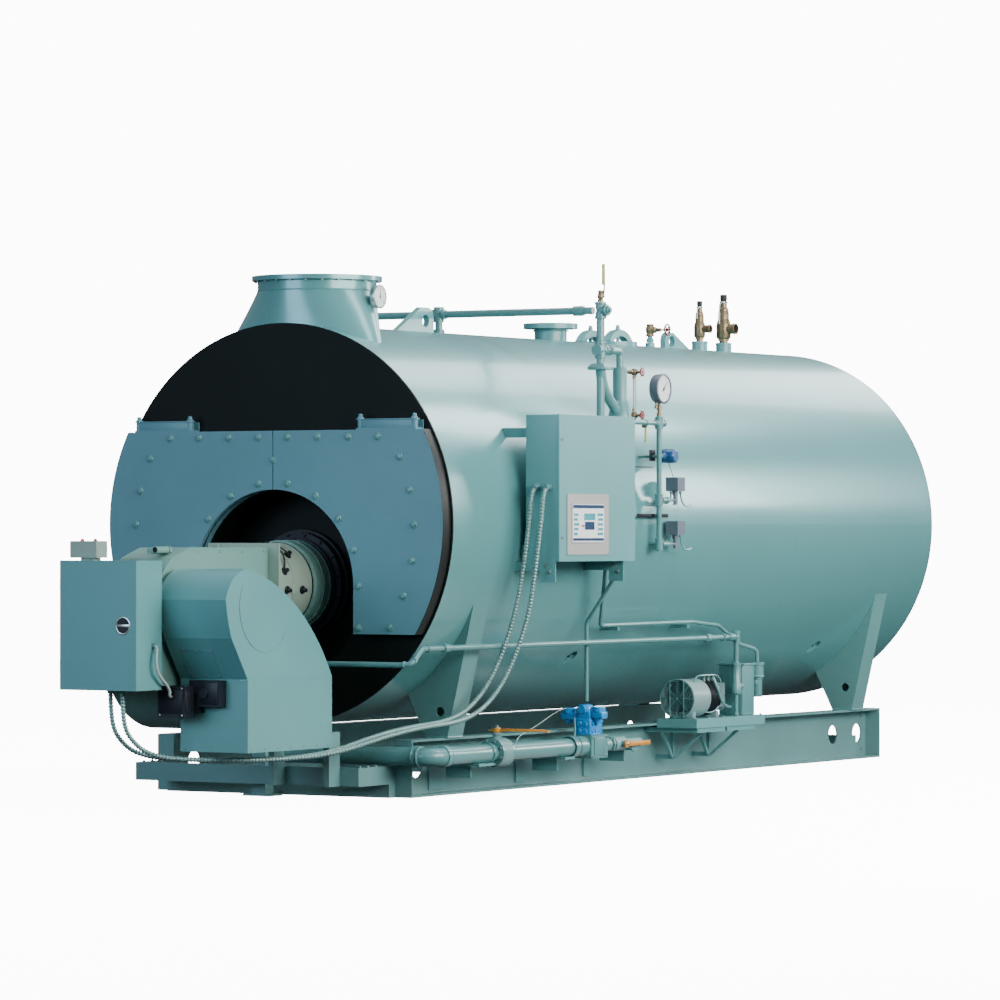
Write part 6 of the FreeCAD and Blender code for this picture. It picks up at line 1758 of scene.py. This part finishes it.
@dataclass
class RearEnd:
    """Trim ring, door bolts, handles and sight port of the far end."""

    end_y: float = 6627.0
    door_y: float = 6687.0
    axis_z: float = 1678.0

    def build(self) -> None:
        """Makes the rear end's trim and fasteners."""
        trim = Shape().ring((0, self.end_y - 12, self.axis_z), Axis.BACK, 1240, 1250.6, 12, 1, 160)
        trim.finish("rear_trim", DARK)
        seams = Shape()
        for y in (1150, 2830, 4510):
            seams.ring((0, y, self.axis_z), Axis.BACK, 1249.6, 1250.4, 3, 0.2, 160)
        seams.finish("jacket_seams", JACKET)
        bolts = Shape()
        for i in range(28):
            a = FULL_TURN * i / 28
            bolts.bolt((1092 * math.cos(a), self.end_y, self.axis_z + 1092 * math.sin(a)),
                       Axis.BACK, 15, 1.5, 0.7)
        bolts.finish("rear_door_bolts", HEADER)
        hem = Shape().ring((0, self.door_y - 16, self.axis_z), Axis.BACK, 1030, 1056, 15.5, 4, 120)
        hem.ring((0, self.door_y - 8, self.axis_z), Axis.BACK, 240, 262, 7.5, 3, 72)
        for side in (-1, 1):
            hem.block((side * 700 - 9, self.door_y - 12, self.axis_z - 260),
                      (side * 700 + 9, self.door_y - 0.5, self.axis_z + 260), 3)
        hem.finish("rear_door_hem", JACKET)


# ---------------------------------------------------------------- studio
@dataclass
class Studio:
    """Pale floor, white wall, soft lights and the camera."""

    camera_at: Point = (16.868, -25.370, 1.639)
    heading: float = 31.06
    pitch: float = 0.354
    lens: float = 176.3
    lights: tuple[tuple[str, Point, Point, tuple[float, float], float, Point], ...] = (
        ("key_right", (12.0, 0.0, 4.6), (0, 3.0, 1.4), (12.0, 3.6), 2050.0, (0.97, 1.0, 0.95)),
        ("overhead", (2.5, 3.0, 11.0), (0, 3.0, 1.6), (2.4, 15.0), 950.0, (0.96, 0.99, 1.0)),
        ("band_high", (-0.5, 15.0, 9.5), (0.6, 3.0, 2.4), (4.0, 9.0), 620.0, (0.94, 1.0, 1.0)),
        ("band_side", (8.0, 15.0, 4.6), (1.2, 3.0, 1.8), (2.2, 3.0), 420.0, (0.96, 1.0, 0.98)),
        ("band_front", (3.8, 10.6, 7.7), (1.0, 0.7, 2.3), (1.7, 2.8), 240.0, (0.96, 1.0, 1.0)),
        ("floor_bounce", (6.2, 4.0, 0.03), (5.2, 4.0, 3.0), (3.6, 13.0), 95.0, (0.92, 1.0, 1.0)),
        ("fill_front", (-4.0, -17.0, 5.0), (0, 0.0, 1.6), (10.0, 6.0), 1350.0, (0.56, 0.79, 1.0)),
    )

    FLOOR_SIZE = 400.0
    FLOOR_GLOW = 11.5
    WALL_SIZE = 160.0
    WALL_AWAY = 90
    WALL_GLOW = 12.0
    SENSOR = 36.0
    SIGHT = 1000.0

    def build(self) -> None:
        """Makes the floor and wall, the world, the lights and the camera."""
        self._floor()
        self._world()
        for name, at, aim, size, power, colour in self.lights:
            lamp = bpy.data.lights.new(name, "AREA")
            lamp.shape = "RECTANGLE"
            lamp.size, lamp.size_y = size
            lamp.energy = power
            lamp.color = colour
            holder = linked(name, lamp)
            holder.location = at
            holder.rotation_euler = (Vector(aim) - Vector(at)).to_track_quat("-Z", "Y").to_euler()
        self._camera()

    def _floor(self) -> None:
        """A broad pale floor."""
        part = bmesh.new()
        bmesh.ops.create_grid(part, x_segments=1, y_segments=1, size=self.FLOOR_SIZE)
        data = bpy.data.meshes.new("studio_floor")
        part.to_mesh(data)
        part.free()
        floor = linked("studio_floor", data)
        material = bpy.data.materials.new("pale_floor")
        material.use_nodes = True
        shader = material.node_tree.nodes["Principled BSDF"]
        shader.inputs["Base Color"].default_value = (0.93, 0.93, 0.93, 1)
        shader.inputs["Emission Color"].default_value = (1, 1, 1, 1)
        shader.inputs["Emission Strength"].default_value = self.FLOOR_GLOW
        shader.inputs["Roughness"].default_value = 0.85
        shader.inputs["Specular IOR Level"].default_value = 0.1
        data.materials.append(material)
        floor.visible_diffuse = False
        floor.visible_glossy = False
        self._backdrop()

    def _backdrop(self) -> None:
        """A white wall far behind, bright to the camera alone."""
        part = bmesh.new()
        turn = math.radians(self.heading)
        bmesh.ops.create_grid(part, x_segments=1, y_segments=1, size=self.WALL_SIZE)
        centre = Vector((-math.sin(turn), math.cos(turn), 0)) * self.WALL_AWAY
        spin = Matrix.Rotation(turn, 4, "Z") @ Matrix.Rotation(math.pi / 2, 4, "X")
        bmesh.ops.transform(part, matrix=Matrix.Translation(centre) @ spin, verts=part.verts)
        data = bpy.data.meshes.new("studio_wall")
        part.to_mesh(data)
        part.free()
        wall = linked("studio_wall", data)
        material = bpy.data.materials.new("white_wall")
        material.use_nodes = True
        shader = material.node_tree.nodes["Principled BSDF"]
        shader.inputs["Base Color"].default_value = (1, 1, 1, 1)
        shader.inputs["Emission Color"].default_value = (1, 1, 1, 1)
        shader.inputs["Emission Strength"].default_value = self.WALL_GLOW
        data.materials.append(material)
        for flag in ("visible_diffuse", "visible_glossy", "visible_shadow",
                     "visible_transmission"):
            setattr(wall, flag, False)

    def _world(self) -> None:
        """Soft even light from all round."""
        world = bpy.data.worlds.new("studio")
        bpy.context.scene.world = world
        world.use_nodes = True
        tree = world.node_tree
        backdrop = tree.nodes["Background"]
        backdrop.inputs["Color"].default_value = (0.86, 0.96, 1.0, 1)
        place = tree.nodes.new("ShaderNodeTexCoord")
        split = tree.nodes.new("ShaderNodeSeparateXYZ")
        tree.links.new(place.outputs["Generated"], split.inputs["Vector"])
        sky = tree.nodes.new("ShaderNodeMapRange")
        sky.inputs["From Min"].default_value = -0.15
        sky.inputs["From Max"].default_value = 0.3
        sky.inputs["To Min"].default_value = 0.05
        sky.inputs["To Max"].default_value = 0.40
        tree.links.new(split.outputs["Z"], sky.inputs["Value"])
        tree.links.new(sky.outputs["Result"], backdrop.inputs["Strength"])

    def _camera(self) -> None:
        """A long lens from the front right, level with the burner."""
        data = bpy.data.cameras.new("studio_camera")
        data.lens = self.lens
        data.sensor_width = self.SENSOR
        data.clip_end = self.SIGHT
        camera = linked("studio_camera", data)
        turn, rise = math.radians(self.heading), math.radians(self.pitch)
        way = Vector((-math.sin(turn) * math.cos(rise), math.cos(turn) * math.cos(rise),
                      math.sin(rise)))
        camera.location = self.camera_at
        camera.rotation_euler = way.to_track_quat("-Z", "Y").to_euler()
        bpy.context.scene.camera = camera


def dress_nodes() -> None:
    """Gives every carried-over CAD node its procedural finish."""
    for finish, names in NODE_FINISHES.items():
        for name in names.split():
            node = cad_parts[name]
            if not node.material_slots:
                node.data.materials.append(finish.material())
            for place in node.material_slots:
                place.material = finish.material()


def main() -> None:
    """Builds the boiler's looks, piece by piece, and its studio."""
    logging.basicConfig(level=logging.INFO, format="%(message)s")
    Studio().build()
    dress_nodes()
    for part in (FrontDoors(), Stack(), Crown(), WaterColumn(1, "water_column"),
                 WaterColumn(-1, "auxiliary_column"), Gauges(), MainCabinet(), BurnerCabinet(),
                 Burner(), GasTrain(), Compressor(), Hoses(), Underframe(), RearEnd()):
        part.build()
        LOG.info("built %s", type(part).__name__)


if __name__ == "__main__":
    main()
